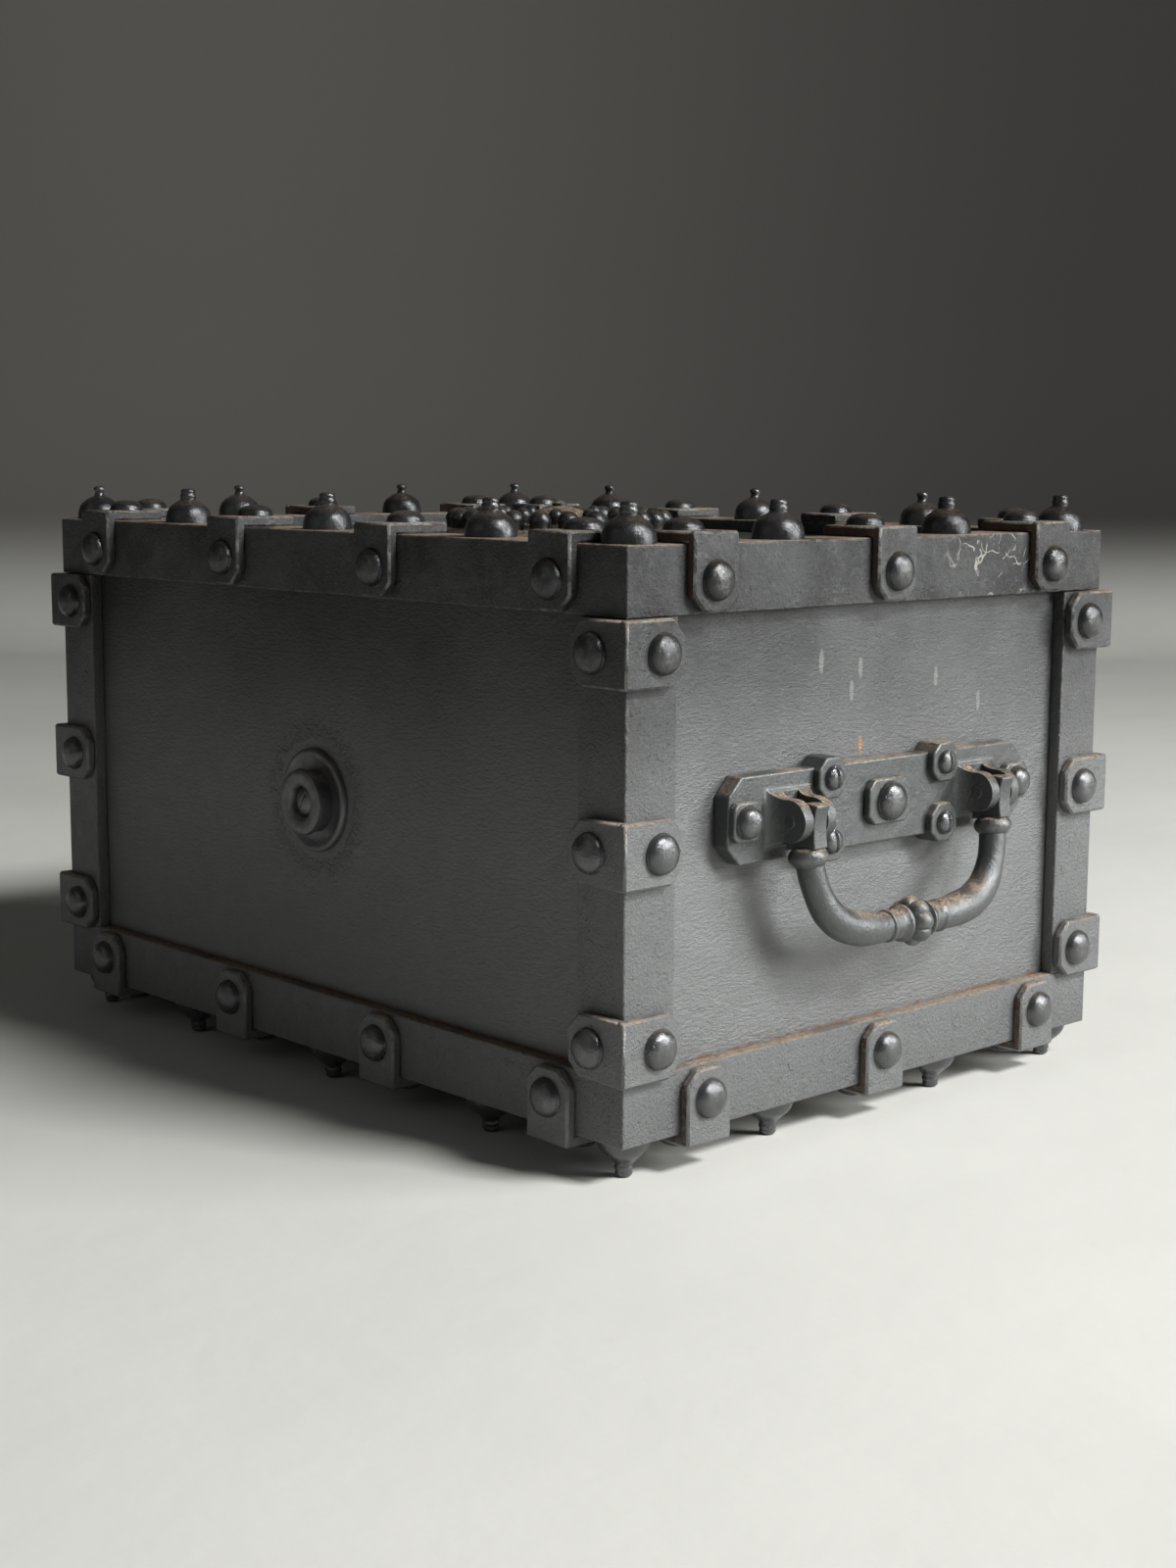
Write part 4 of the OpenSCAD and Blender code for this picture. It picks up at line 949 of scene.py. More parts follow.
def is_rounding(outline):
    """Which faces of a swept outline lie on an outer rounding: those between close points."""
    size = len(outline)
    gaps = [(Vector(outline[(j + 1) % size]) - Vector(outline[j])).length for j in range(size)]
    inner = [IRON_T * 1.05 < o[0] < LEG * 0.4 and IRON_T * 1.05 < abs(o[1]) < LEG * 0.4 for o in outline]
    return [gap < 1.2 * MM and not inner[j] for j, gap in enumerate(gaps)]


def cast_wave(point, sizes):
    """How far a cast face strays at a point."""
    broad = noise.noise_vector(point / 0.045) * sizes.wave
    fine = noise.noise_vector(point / 0.012) * sizes.wave * 0.45
    return broad + fine


def iron_piece(name, outline, rings):
    """Skins an iron's rings, and marks its roundings as rubbed."""
    form = bmesh.new()
    rounding = is_rounding(outline)
    sweep(form, rings, rub=lambda i, j: float(rounding[j]))
    piece(mesh_from(form, name, 32), name)


def mitred_iron(name, side, level, up, sizes):
    """An iron along an edge of the base or lid, mitred and rounded where it meets its neighbours."""
    half = half_long(side)
    outline = iron_outline(up, sizes)
    edge_r = sizes.corner_r
    near = edge_r * (1 - math.cos(math.radians(45)))
    inner = half - LEG
    steps = int(2 * half / STATION)
    ends = [half - LEG * f for f in (0.8, 0.6, 0.4, 0.2, 0.08)]
    ends += [half - edge_r * f for f in (1, 0.75, 0.5, 0)]
    middle = [round(-inner + 2 * inner * i / steps, 6) for i in range(steps + 1)]
    stations = sorted(set(middle + [s * x for s in (-1, 1) for x in ends]))
    matrix = on_side(side)

    def place(x, y, z):
        over = abs(x) - (half - edge_r)
        bent = edge_r - math.sqrt(max(0.0, edge_r ** 2 - over ** 2)) if over > 0 else 0.0
        depth = max(y, min(bent, near))
        x = math.copysign(min(abs(x), half - max(depth, near)), x)
        point = matrix @ Vector((x, depth, level + z))
        return point + cast_wave(point, sizes)

    iron_piece(name, outline, [[place(x, y, z) for y, z in outline] for x in stations])


def upright_iron(name, corner, sizes):
    """An upright iron at a corner, calmer toward its ends, where it meets the others."""
    low = BASE_Z + LEG
    outline = [(-x, y) for x, y in iron_outline(1, sizes)]
    steps = int((RIM_Z - low) / STATION)
    matrix = on_corner(corner)

    def place(x, y, z):
        point = matrix @ Vector((x, y, z))
        stray = cast_wave(point, sizes)
        from_end = max(0.0, min(1.0, (z - low) / 0.01, (RIM_Z - z) / 0.01))
        stray.z = 0
        return point + stray * (0.4 + 0.6 * from_end)

    heights = [low + (RIM_Z - low) * i / steps for i in range(steps + 1)]
    iron_piece(name, outline, [[place(x, y, z) for x, y in outline] for z in heights])


SIDES = ["front", "right", "back", "left"]
CORNERS = ["front_right", "back_right", "back_left", "front_left"]


class STRONGBOX_OT_irons(bpy.types.Operator):
    """Make the twelve cast angle irons"""
    bl_idname = "strongbox.irons"
    bl_label = "Angle irons"

    def execute(self, context):
        sizes = context.scene.strongbox_irons
        for k in range(4):
            mitred_iron("base_iron_" + SIDES[k], k, BASE_Z, 1, sizes)
            mitred_iron("lid_iron_" + SIDES[k], k, TOP_Z, -1, sizes)
            upright_iron("corner_iron_" + CORNERS[k], k, sizes)
        return {"FINISHED"}


# Panels, whose CAD meshes stay, and the rails inside the rim

class STRONGBOX_OT_panels(bpy.types.Operator):
    """Paint the panels and soften the rails inside the rim"""
    bl_idname = "strongbox.panels"
    bl_label = "Panels and rails"

    def execute(self, context):
        for name in ("front_panel", "right_panel", "back_panel", "left_panel", "lid_panel", "bottom_plate"):
            data = frame["nodes"][name].data
            data.materials.clear()
            data.materials.append(finish_for("panel_iron"))
        for side in SIDES:
            dressed("rim_rail_" + side, 0.6 * MM)
        return {"FINISHED"}


# Clips

def clips_along(side, sizes):
    """Places of the edge clips along a side."""
    if side % 2 == 0:
        return spread(sizes.long_n, half_long(side) - sizes.end_long)
    return spread(sizes.short_n, half_long(side) - sizes.end_short)


def corner_heights(sizes):
    """Heights of the three clips on an upright corner."""
    foot = BASE_Z + LEG - sizes.lap
    return [foot + sizes.corner_h / 2, (foot + RIM_Z) / 2, RIM_Z - sizes.corner_h / 2]


def edge_clip_model(sizes):
    """An edge clip in the frame of a side, with z = 0 at the irons' top: one strap bent over the edge."""
    t, w, cut = sizes.thick, sizes.width / 2, sizes.cut
    drop = LEG - sizes.margin
    form = bmesh.new()
    upright = [(-w, t), (-w, cut - drop), (cut - w, -drop), (w - cut, -drop), (w, cut - drop), (w, t)]
    add_block(form, upright, 0, t, sizes.soft, turned(90, "X"), segments=1)
    level = [(-w, -t * 0.5), (w, -t * 0.5), (w, LEG), (-w, LEG)]
    add_block(form, level, 0, t, sizes.soft, segments=1)
    form.normal_update()
    layer = rub_layer(form)
    for face in form.faces:
        if abs(face.normal.x) > 0.9:
            face[layer] = -1.0
    uneven(form, 0.25 * MM, 0.02, 4)
    return mesh_from(form, "edge_clip", 50)


def corner_clip_model(sizes):
    """A corner clip in the frame of a corner: an L from above, with cut corners on both legs."""
    t, leg, h, cut = sizes.thick, sizes.corner_leg, sizes.corner_h / 2, sizes.cut
    outline = [(t, -h), (t, h), (cut - leg, h), (-leg, h - cut), (-leg, cut - h), (cut - leg, -h)]
    form = bmesh.new()
    for matrix in (Matrix(), turned(90, "Z") @ Matrix.Scale(-1, 4, (1, 0, 0))):
        prism(form, outline, 0, t, matrix @ turned(90, "X"))
    soften(form, sizes.soft, segments=1)
    uneven(form, 0.3 * MM, 0.02, 2)
    return mesh_from(form, "corner_clip", 50)


def edge_places(level, up, sizes):
    """Frames of the edge clips along an edge of the box, turned over for the base."""
    return [
        on_side(k) @ moved(x, 0, level) @ flipped(up, "Y") for k in range(4) for x in clips_along(k, sizes)
    ]


class STRONGBOX_OT_clips(bpy.types.Operator):
    """Make the clips over the edges and round the corners"""
    bl_idname = "strongbox.clips"
    bl_label = "Clips"

    def execute(self, context):
        sizes = context.scene.strongbox_clips
        corner_places = [on_corner(k) @ moved(0, 0, z) for k in range(4) for z in corner_heights(sizes)]
        scattered("lid_clips", [(edge_clip_model(sizes), edge_places(TOP_Z, 1, sizes), 0, 0, 0)])
        scattered("base_clips", [(edge_clip_model(sizes), edge_places(BASE_Z, -1, sizes), 1, 0, 0)])
        scattered("corner_clips", [(corner_clip_model(sizes), corner_places, 2, 0, 0)])
        return {"FINISHED"}


# Studs, finials and feet

FULL_TURN = 2 * math.pi

# Share of a finial's radius and of its height, from its seat to its neck
FINIAL_DOME = [
    (1.0, 0.0), (1.0, 0.04), (0.99, 0.13), (0.965, 0.23), (0.92, 0.33), (0.85, 0.42), (0.75, 0.495),
    (0.63, 0.555), (0.52, 0.6), (0.43, 0.635),
]
FOOT_DOME = [
    (1.0, 0.0), (1.0, 0.05), (0.98, 0.15), (0.93, 0.25), (0.84, 0.34), (0.72, 0.42), (0.6, 0.49),
    (0.5, 0.55), (0.42, 0.6), (0.37, 0.64),
]
# Share of the button's radius and of the finial's height: a ringed button, and a slim one that ends in a ball
RINGED = [
    (1.02, 0.67), (1.0, 0.7), (1.06, 0.74), (1.06, 0.8), (0.94, 0.835), (0.94, 0.86), (1.0, 0.9),
    (0.88, 0.96), (0.6, 0.985),
]
SLIM = [
    (0.9, 0.66), (0.68, 0.7), (0.6, 0.76), (0.62, 0.8), (0.74, 0.84), (0.78, 0.89), (0.7, 0.945),
    (0.45, 0.98),
]


def stem_profile(radius, grip):
    """The profile of a stem below z = 0."""
    return [(0, -grip), (radius, -grip), (radius, 0)]


def dome_profile(diameter, height, steps=9):
    """A full dome on z = 0 with a thin upright rim, a hair low so that its unevenness stays inside."""
    r = diameter / 2
    rim = 0.8 * MM
    top = height - rim - 0.2 * MM
    points = [(r, 0), (r, rim * 0.6)]
    for i in range(steps):
        a = math.radians(90 * i / steps)
        points.append(((r - 0.3 * MM) * math.cos(a) ** 0.8, rim + top * math.sin(a)))
    return points + [(0, rim + top)]


def stud_model(diameter, height, shank_d, grip):
    """A domed rivet: head above z = 0, shank below."""
    form = bmesh.new()
    profile = stem_profile(shank_d / 2, grip) + dome_profile(diameter, height)
    lathe(form, profile, 28, rub=rubbed_top(height * 0.4, height))
    uneven(form, 0.22 * MM, 0.008, 3)
    return mesh_from(form, "stud", 50)


def flush_model(diameter, grip):
    """A rivet filed flush: a faint low disc that stands a hair proud of the face."""
    r = diameter / 2
    proud = 0.4 * MM
    profile = stem_profile(r, grip)[:2] + [
        (r, proud * 0.2), (r - 0.5 * MM, proud), (r - 1.1 * MM, proud), (r - 1.7 * MM, proud * 0.5),
        (r * 0.3, proud * 0.6), (0, proud * 0.6),
    ]
    form = bmesh.new()
    lathe(form, profile, 24, rub=rubbed_top(proud * 0.6, proud, 0.35))
    uneven(form, 0.2 * MM, 0.004, 7)
    return mesh_from(form, "flush_rivet", 50)


def finial_model(sizes, height, grip, dome, button):
    """A turned nut: a full dome that runs hollow into a small button, on its stem."""
    profile = stem_profile(sizes.stem_d / 2, grip)
    profile += [(sizes.finial_d / 2 * x, height * z) for x, z in dome]
    profile += [(sizes.button_d / 2 * x, height * z) for x, z in button] + [(0, height * 0.99)]
    form = bmesh.new()
    lathe(form, profile, 30, rub=rubbed_top(height * 0.4, height))
    uneven(form, 0.18 * MM, 0.01, 6)
    return mesh_from(form, "finial", 50)


def stud_places_on_clips(level, up, clips, studs):
    """Frames of the two studs of every edge clip: one outwards, one up or down."""
    places = []
    for k in range(4):
        for x in clips_along(k, clips):
            places.append(facing(k, x, level - up * studs.inset, clips.thick))
            places.append(on_side(k) @ moved(x, studs.inset, level + up * clips.thick) @ flipped(up, "X"))
    return places


def corner_stud_places(clips, studs):
    """Frames of the two studs of every corner clip, one on each face."""
    places = []
    for k in range(4):
        for z in corner_heights(clips):
            places.append(facing(k, half_long(k) - studs.corner_inset, z, clips.thick))
            places.append(facing(k + 1, studs.corner_inset - half_long(k + 1), z, clips.thick))
    return places


def flush_places(clips, studs):
    """Frames of the flush rivets: between the clips of the uprights and of the base."""
    places = []
    for k in range(4):
        x = half_long(k) - studs.flush_inset
        places += [facing(k, s * x, z) for s in (-1, 1) for z in between(corner_heights(clips))]
        places += [facing(k, x, BASE_Z + studs.flush_z) for x in between(clips_along(k, clips))]
    return places


def finial_places(sides, level, up, clips, studs):
    """Frames of the finials or feet of some sides: between the clips, and one at a corner."""
    places = []
    for k in sides:
        spots = between(clips_along(k, clips)) + [half_long(k) - studs.inset]
        places += [on_side(k) @ moved(x, studs.inset, level) @ flipped(up, "X") for x in spots]
    return places


HINGE_L = 60 * MM       # length of a hinge's leaf
LEAF_T = 4 * MM         # its thickness
LEAF_EDGE = 11 * MM     # from the rivets to the leaf's free edge


def hinge_rivet_places(up):
    """Frames of the rivets in the hinges' leaves: up is 1 for the lid's leaves, -1 for the body's."""
    low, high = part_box("hinge_leaves_lid" if up > 0 else "hinge_leaves_body")
    middle = high.x - HINGE_L / 2
    z = high.z - LEAF_EDGE if up > 0 else low.z + LEAF_EDGE
    return [facing(2, s * middle + t * HINGE_L * 0.3, z, LEAF_T) for s in (-1, 1) for t in (-1, 1)]


class STRONGBOX_OT_studs(bpy.types.Operator):
    """Make the domed rivets, the flush rivets and the hinges' rivets"""
    bl_idname = "strongbox.studs"
    bl_label = "Studs and rivets"

    def execute(self, context):
        clips, studs = context.scene.strongbox_clips, context.scene.strongbox_studs
        head = stud_model(studs.head_d, studs.head_h, studs.shank_d, clips.thick + IRON_T * 0.5)
        base_places = stud_places_on_clips(BASE_Z, -1, clips, studs)
        lid_hinge = stud_model(studs.hinge_d, studs.hinge_h, 6 * MM, IRON_T)
        body_hinge = stud_model(studs.hinge_d, studs.hinge_h, 6 * MM, LEAF_T + WALL)
        flush = flush_model(studs.flush_d, WALL)
        scattered("corner_rivets", [(head, corner_stud_places(clips, studs), 11, 0.02, FULL_TURN)])
        scattered("base_rivets", [(head, base_places, 12, 0.02, FULL_TURN)])
        scattered("lid_rivets", [
            (head, stud_places_on_clips(TOP_Z, 1, clips, studs), 13, 0.02, FULL_TURN),
            (lid_hinge, hinge_rivet_places(1), 14, 0.05, FULL_TURN),
        ])
        scattered("panel_rivets", [
            (flush, flush_places(clips, studs), 15, 0.04, FULL_TURN),
            (body_hinge, hinge_rivet_places(-1), 16, 0.05, FULL_TURN),
        ])
        return {"FINISHED"}


class STRONGBOX_OT_finials(bpy.types.Operator):
    """Make the turned finials on the lid and the feet below"""
    bl_idname = "strongbox.finials"
    bl_label = "Finials and feet"

    def execute(self, context):
        clips, studs = context.scene.strongbox_clips, context.scene.strongbox_studs
        scattered("lid_finials", [
            (finial_model(studs, BASE_Z, WALL, FINIAL_DOME, button),
             finial_places(sides, TOP_Z, 1, clips, studs), 21, 0, FULL_TURN)
            for button, sides in ((RINGED, (0, 1)), (SLIM, (2, 3)))
        ])
        foot = finial_model(studs, BASE_Z, IRON_T * 0.6, FOOT_DOME, RINGED)
        scattered("feet", [(foot, finial_places(range(4), BASE_Z, -1, clips, studs), 22, 0, FULL_TURN)])
        return {"FINISHED"}


# Front boss. All the profiles are in mm

BOSS_RING = [   # in from the ring's outer edge, and up from the panel
    (0, 0), (0, 2.2), (0.7, 3.2), (1.8, 3.5), (3.2, 3.4), (4.6, 2.6), (7, 1.9),
]
RING_FOOT = [(3, 1.7), (0.2, 1.9)]      # out from the disc, and up from the panel
DISC_RIM = [(1.3, 3), (0.6, 1), (-1, 0.1), (-2.6, 0)]       # out from the disc's foot, and down from its top
DISC_HOLLOW = [(2.4, 0.5), (1, 1.2), (0, 2.4)]      # out from the screw, and down from the disc's top
BOSS_SCREW = [  # share of the screw's radius, and up from the disc's seat
    (1, 3.2), (0.93, 4.2), (0.72, 5.8), (0.42, 6.9), (0.15, 7.3), (0, 7.4),
]


class STRONGBOX_OT_boss(bpy.types.Operator):
    """Make the round boss on the front: a dished ring, a raised disc and a slotted screw"""
    bl_idname = "strongbox.boss"
    bl_label = "Front boss"

    def execute(self, context):
        sizes = context.scene.strongbox_boss
        lift = sizes.lift
        low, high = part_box("boss_ring")
        place = facing(0, 0, (low.z + high.z) / 2, -IRON_T)
        outer = (high.z - low.z) / 2
        disc_low, disc_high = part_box("boss_disc")
        disc_r, disc_h = (disc_high.z - disc_low.z) / 2, disc_high.y - disc_low.y + lift
        screw_r = (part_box("boss_screw")[1].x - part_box("boss_screw")[0].x) / 2
        ring = [(disc_r + 0.2 * MM, 0)] + [(outer - x * MM, z * MM) for x, z in BOSS_RING]
        ring += [(disc_r + x * MM, z * MM) for x, z in RING_FOOT]
        lathed("boss_ring", ring, 64, place, rubbed_top(2.4 * MM, 3.4 * MM, 1), 0)
        hole = screw_r + 0.15 * MM
        disc = [(hole, 0), (disc_r, 0), (disc_r, lift + 2 * MM)]
        disc += [(disc_r + x * MM, disc_h - z * MM) for x, z in DISC_RIM]
        disc += [(hole + x * MM, disc_h - z * MM) for x, z in DISC_HOLLOW]
        lathed("boss_disc", disc, 56, place, rubbed_top(disc_h - 2 * MM, disc_h - 0.5 * MM, 1), 2)
        screw = bmesh.new()
        profile = stem_profile(4 * MM, WALL - IRON_T) + [(screw_r, 0)]
        profile += [(screw_r * x, lift + z * MM) for x, z in BOSS_SCREW]
        lathe(screw, profile, 40, rub=rubbed_top(lift + 3 * MM, lift + 6 * MM, 0.7))
        turn = Matrix.Rotation(sizes.slot_turn, 4, "Z")
        made = mesh_from(screw, "boss_screw")
        made = slotted(made, sizes.slot_w, screw_r * 0.62, lift + 5 * MM, 4 * MM, turn)
        made.transform(place)
        piece(made, "boss_screw")
        return {"FINISHED"}


# Handles

HANDLE_SIDES = {"right": 1, "left": 3}

# Frames for outlines that lie in another plane: x and z, or y and z, changed places
LAY = Matrix(((0, 0, 1, 0), (0, 1, 0, 0), (1, 0, 0, 0), (0, 0, 0, 1)))
STAND = Matrix(((1, 0, 0, 0), (0, 0, 1, 0), (0, 1, 0, 0), (0, 0, 0, 1)))


def handle_frame(side):
    """Frame of a handle: x along the side, y up, z outwards, from the middle of its plate's back."""
    low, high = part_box("handle_plate_right")
    shift = (low.y + high.y) / 2
    return facing(side, shift if side == 1 else -shift, (low.z + high.z) / 2, -IRON_T)


def pad_spots(sizes):
    """Places of the four screw pads on the plate."""
    return [(x, y) for x in (-sizes.pad_x, sizes.pad_x) for y in (-sizes.pad_z, sizes.pad_z)]


def end_spots(sizes):
    """Places of the two end pads on the plate."""
    end = (sizes.plate_l - sizes.end_pad) / 2
    return [(-end, 0), (end, 0)]


def handle_pads(sizes):
    """Four screw pads that lap over the plate's edges, two end pads and the middle pad."""
    t = sizes.plate_t
    pads = [(spot, sizes.pad_w, sizes.pad_w, 6 * MM, 0) for spot in pad_spots(sizes)]
    pads += [(spot, sizes.end_pad, sizes.end_pad, 3 * MM, t) for spot in end_spots(sizes)]
    pads.append(((0, 0), sizes.middle_w, sizes.middle_h, 5 * MM, t))
    form = bmesh.new()
    for (x, y), width, height, cut, low in pads:
        outline = [(x + a, y + b) for a, b in eight_sided(width, height, cut)]
        add_block(form, outline, low, t + sizes.pad_t, 1 * MM)
    return form


def slotted_head(sizes, grip):
    """A domed screw with a slot across its head."""
    height = sizes.screw_h
    screw = bmesh.new()
    profile = stem_profile(3 * MM, grip) + dome_profile(sizes.screw_d, height)
    lathe(screw, profile, 28, rub=rubbed_top(height * 0.4, height, 0.9))
    low = height - sizes.slot_deep
    made = mesh_from(screw, "screw", 50)
    return slotted(made, sizes.slot_w, sizes.screw_d, low, sizes.slot_deep + 2 * MM, turned(90, "Z"))


# The bail, in mm. Its line: in from a pivot, and down from it
BAIL_BEND = [(0, 18), (1.4, 28), (5, 40), (12, 51), (23, 58.5), (38, 62.2)]
# Its bar: distance from the middle, and how much thicker than the legs
BAR_SWELL = [(0, 0), (21, 0.3), (30, 1.3), (43, 2.0), (56, 1.6), (66, 1.0), (74, 0.1), (90, -0.3)]
# Its grip: how much thicker than the legs, and distance from the middle
GRIP = [
    (-1.2, 23.6), (0.7, 23.2), (1.5, 22.3), (1.5, 21.2), (0.5, 20.2), (0.4, 19), (0.9, 17), (0.6, 14.5),
    (1.2, 12), (2.4, 10.8), (2.9, 10), (2.8, 9), (1.6, 8.2), (0.6, 7.6), (0, 6),
]
LOBE_R, LOBE_HALF, LOBE_COUNT = 13.8 * MM, 8 * MM, 8
# Its knuckle: the front of its outline with the lug on top, outwards and up from the pivot
KNUCKLE_FRONT = [
    (2, 8.3), (8, 8.1), (13.4, 6.8), (13.7, 6.2), (12.3, 3.2), (11.1, 0), (10.2, -4), (9.6, -9), (9.6, -15.5),
]
KNUCKLE_R, KNUCKLE_HEEL, KNUCKLE_LOW, KNUCKLE_HALF = 8.3 * MM, 10.4 * MM, -15.5 * MM, 5.1 * MM
# Its collar: radius and height over the knuckle's foot
COLLAR = [
    (0, 0.5), (7.2, 0.5), (8.8, -0.3), (10.0, -1.9), (10.6, -3.6), (10.6, -5.2), (9.9, -6.7), (8.6, -8.0),
    (7.5, -9.4), (0, -9.4),
]


def bail_line(sizes):
    """The middle line of a bail in x and y, from one collar round to the other."""
    half, drop = sizes.span / 2, sizes.drop
    side = [(half - x * MM, -y * MM) for x, y in BAIL_BEND] + [(half - 56 * MM, -drop), (8 * MM, -drop)]
    points = [Vector(p) for p in side] + [Vector((-x, y)) for x, y in reversed(side)]
    line = []
    for i in range(1, len(points) - 2):
        a, b, c, d = points[i - 1:i + 3]
        for step in range(8):
            t = step / 8
            line.append(0.5 * (
                2 * b + (c - a) * t + (2 * a - 5 * b + 4 * c - d) * t ** 2 + (3 * b - a - 3 * c + d) * t ** 3
            ))
    first = [points[0].lerp(points[1], t / 4) for t in range(4)]
    last = [points[-2].lerp(points[-1], t / 4) for t in range(1, 5)]
    return first + line + [points[-2]] + last


def bar_radius(x, sizes):
    """Radius of the bail by its distance from the middle: slim legs, a fuller bend and belly."""
    x = abs(x) / MM
    swell = BAR_SWELL[-1][1]
    for (x0, s0), (x1, s1) in zip(BAR_SWELL, BAR_SWELL[1:]):
        if x <= x1:
            swell = s0 + (s1 - s0) * smoothly(x, x0, x1)
            break
    return sizes.bar_d / 2 + swell * MM


def bail_bar(form, sizes, steps=24):
    """The bent bar from collar to collar."""
    line = bail_line(sizes)
    rings = []
    for i, p in enumerate(line):
        ahead = (line[min(i + 1, len(line) - 1)] - line[max(i - 1, 0)]).normalized()
        across = Vector((-ahead.y, ahead.x, 0))
        r = bar_radius(p.x, sizes)
        rings.append([
            Vector((p.x, p.y, 0)) + r * (math.cos(a) * across + math.sin(a) * Vector((0, 0, 1)))
            for a in (2 * math.pi * j / steps for j in range(steps))
        ])
    sweep(form, rings, rub=lambda i, j: 0.15 * smoothly(abs(line[i].x), 70 * MM, 35 * MM))


def bail_grip(form, sizes):
    """The turned grip: a ridge at each end, a rim, and a ring of eight lobes in the middle."""
    at = moved(0, -sizes.drop, 0) @ turned(90, "Y")
    leg_r = sizes.bar_d / 2
    half = [(leg_r + x * MM, -z * MM) for x, z in GRIP]
    profile = [(0, half[0][1])] + half + [(x, -z) for x, z in reversed(half)] + [(0, -half[0][1])]
    lathe(form, profile, 32, at, rub=lambda p: smoothly(p[0], leg_r + 0.8 * MM, leg_r + 1.6 * MM))
    arcs = [math.radians(180 * i / 12) for i in range(1, 12)]
    lobes = [(LOBE_R * math.sin(a) ** 0.8, -LOBE_HALF * math.cos(a)) for a in arcs]

    def melon(turn):
        return 0.86 + 0.14 * abs(math.cos(LOBE_COUNT / 2 * turn)) ** 0.7

    profile = [(0, -LOBE_HALF)] + lobes + [(0, LOBE_HALF)]
    lathe(form, profile, 96, at, rub=lambda p: 0.8 * smoothly(p[0], 9 * MM, 13 * MM), swell=melon)


def bail_end(form, sizes, side):
    """A knuckle in its fork, with a lug that stops the swing, and the round collar where it meets the leg."""
    at = moved(side * sizes.span / 2, 0, 0)
    back = on_circle((0, 0), KNUCKLE_R, range(180, 109, -10))
    front = [(x * MM, y * MM) for x, y in KNUCKLE_FRONT]
    outline = [(-KNUCKLE_HEEL, KNUCKLE_LOW)] + back + front
    add_block(form, outline, -KNUCKLE_HALF, KNUCKLE_HALF, 0.6 * MM, at @ LAY, angle=50)
    collar = [(r * MM, z * MM) for r, z in COLLAR]
    lathe(form, collar, 32, at @ moved(0, KNUCKLE_LOW, 0) @ turned(-90, "X"),
          rub=lambda p: 0.9 * smoothly(p[0], 9 * MM, 10.4 * MM))


def sweep_in(reach, flare, depth, steps=9):
    """A hollow quarter round, from the plate at depth 0 to a flank at a reach."""
    angles = [math.radians(90 * i / steps) for i in range(steps + 1)]
    return [(depth * (1 - math.cos(a)), reach + flare * (1 - math.sin(a))) for a in angles]


def fork(sizes):
    """Two round-nosed cheeks that sweep out to the plate at z = 0, with the web between them."""
    nose, cheek, gap, web = 11.2 * MM, 6.6 * MM, 5.6 * MM, 1.4 * MM
    out = sizes.pivot_out
    reach = 30 * MM     # past the fork on every side
    flank = sweep_in(nose, 6.2 * MM, 9 * MM)
    side_view = flank + on_circle((out, 0), nose, range(90, -91, -10)) + [(x, -y) for x, y in reversed(flank)]
    side_form = bmesh.new()
    prism(side_form, side_view, -reach, reach, LAY)
    half = sweep_in(gap + cheek, 7.0 * MM, 13 * MM)
    far = out + nose + 1 * MM
    plan = [(-y, x) for x, y in half] + [(-gap - cheek, far), (-gap, far), (-gap, web)]
    plan += [(gap, web), (gap, far), (gap + cheek, far)] + [(y, x) for x, y in reversed(half)]
    plan_form = bmesh.new()
    prism(plan_form, plan, -reach, reach, STAND)
    form = bmesh.new()
    seen_from_side, seen_from_above = mesh_from(side_form, "fork_side"), mesh_from(plan_form, "fork_plan")
    form.from_mesh(combined(seen_from_side, seen_from_above, "INTERSECT"))
    bmesh.ops.remove_doubles(form, verts=form.verts, dist=5e-6)
    bmesh.ops.dissolve_limit(form, angle_limit=math.radians(1), verts=form.verts, edges=form.edges)
    soften(form, 0.8 * MM, 42)
    uneven(form, 0.2 * MM, 0.012, 5)
    return mesh_from(form, "fork", 40)


class STRONGBOX_OT_handle_plates(bpy.types.Operator):
    """Make the handle plates with their pads, studs and screws"""
    bl_idname = "strongbox.handle_plates"
    bl_label = "Handle plates"

    def execute(self, context):
        sizes = context.scene.strongbox_handle
        pads, screws, ends, middles = bmesh.new(), [], [], []
        top = sizes.plate_t + sizes.pad_t
        grip = top + WALL - IRON_T
        for word, side in HANDLE_SIDES.items():
            at = handle_frame(side)
            plate = bmesh.new()
            outline = eight_sided(sizes.plate_l, sizes.plate_h, sizes.plate_cut)
            add_block(plate, outline, 0, sizes.plate_t, 1.1 * MM, segments=3)
            uneven(plate, 0.3 * MM, 0.03, side)
            plate.transform(at)
            piece(mesh_from(plate, "plate", 50), "handle_plate_" + word)
            form = handle_pads(sizes)
            uneven(form, 0.25 * MM, 0.02, side)
            form.transform(at)
            pads.from_mesh(plain_mesh(form, "pads"))
            screws += [at @ moved(x, y, top) for x, y in pad_spots(sizes)]
            ends += [at @ moved(x, y, top) for x, y in end_spots(sizes)]
            middles.append(at @ moved(0, 0, top))
        piece(mesh_from(pads, "pads", 50), "handle_pads")
        end_stud = stud_model(sizes.end_stud_d, sizes.stud_h, 6 * MM, grip)
        middle_stud = stud_model(sizes.middle_stud_d, sizes.stud_h, 6 * MM, grip)
        scattered("handle_screws", [
            (slotted_head(sizes, grip), screws, 31, 0.04, 0.15),
            (end_stud, ends, 32, 0.04, 6.0), (middle_stud, middles, 33, 0, 6.0),
        ])
        return {"FINISHED"}


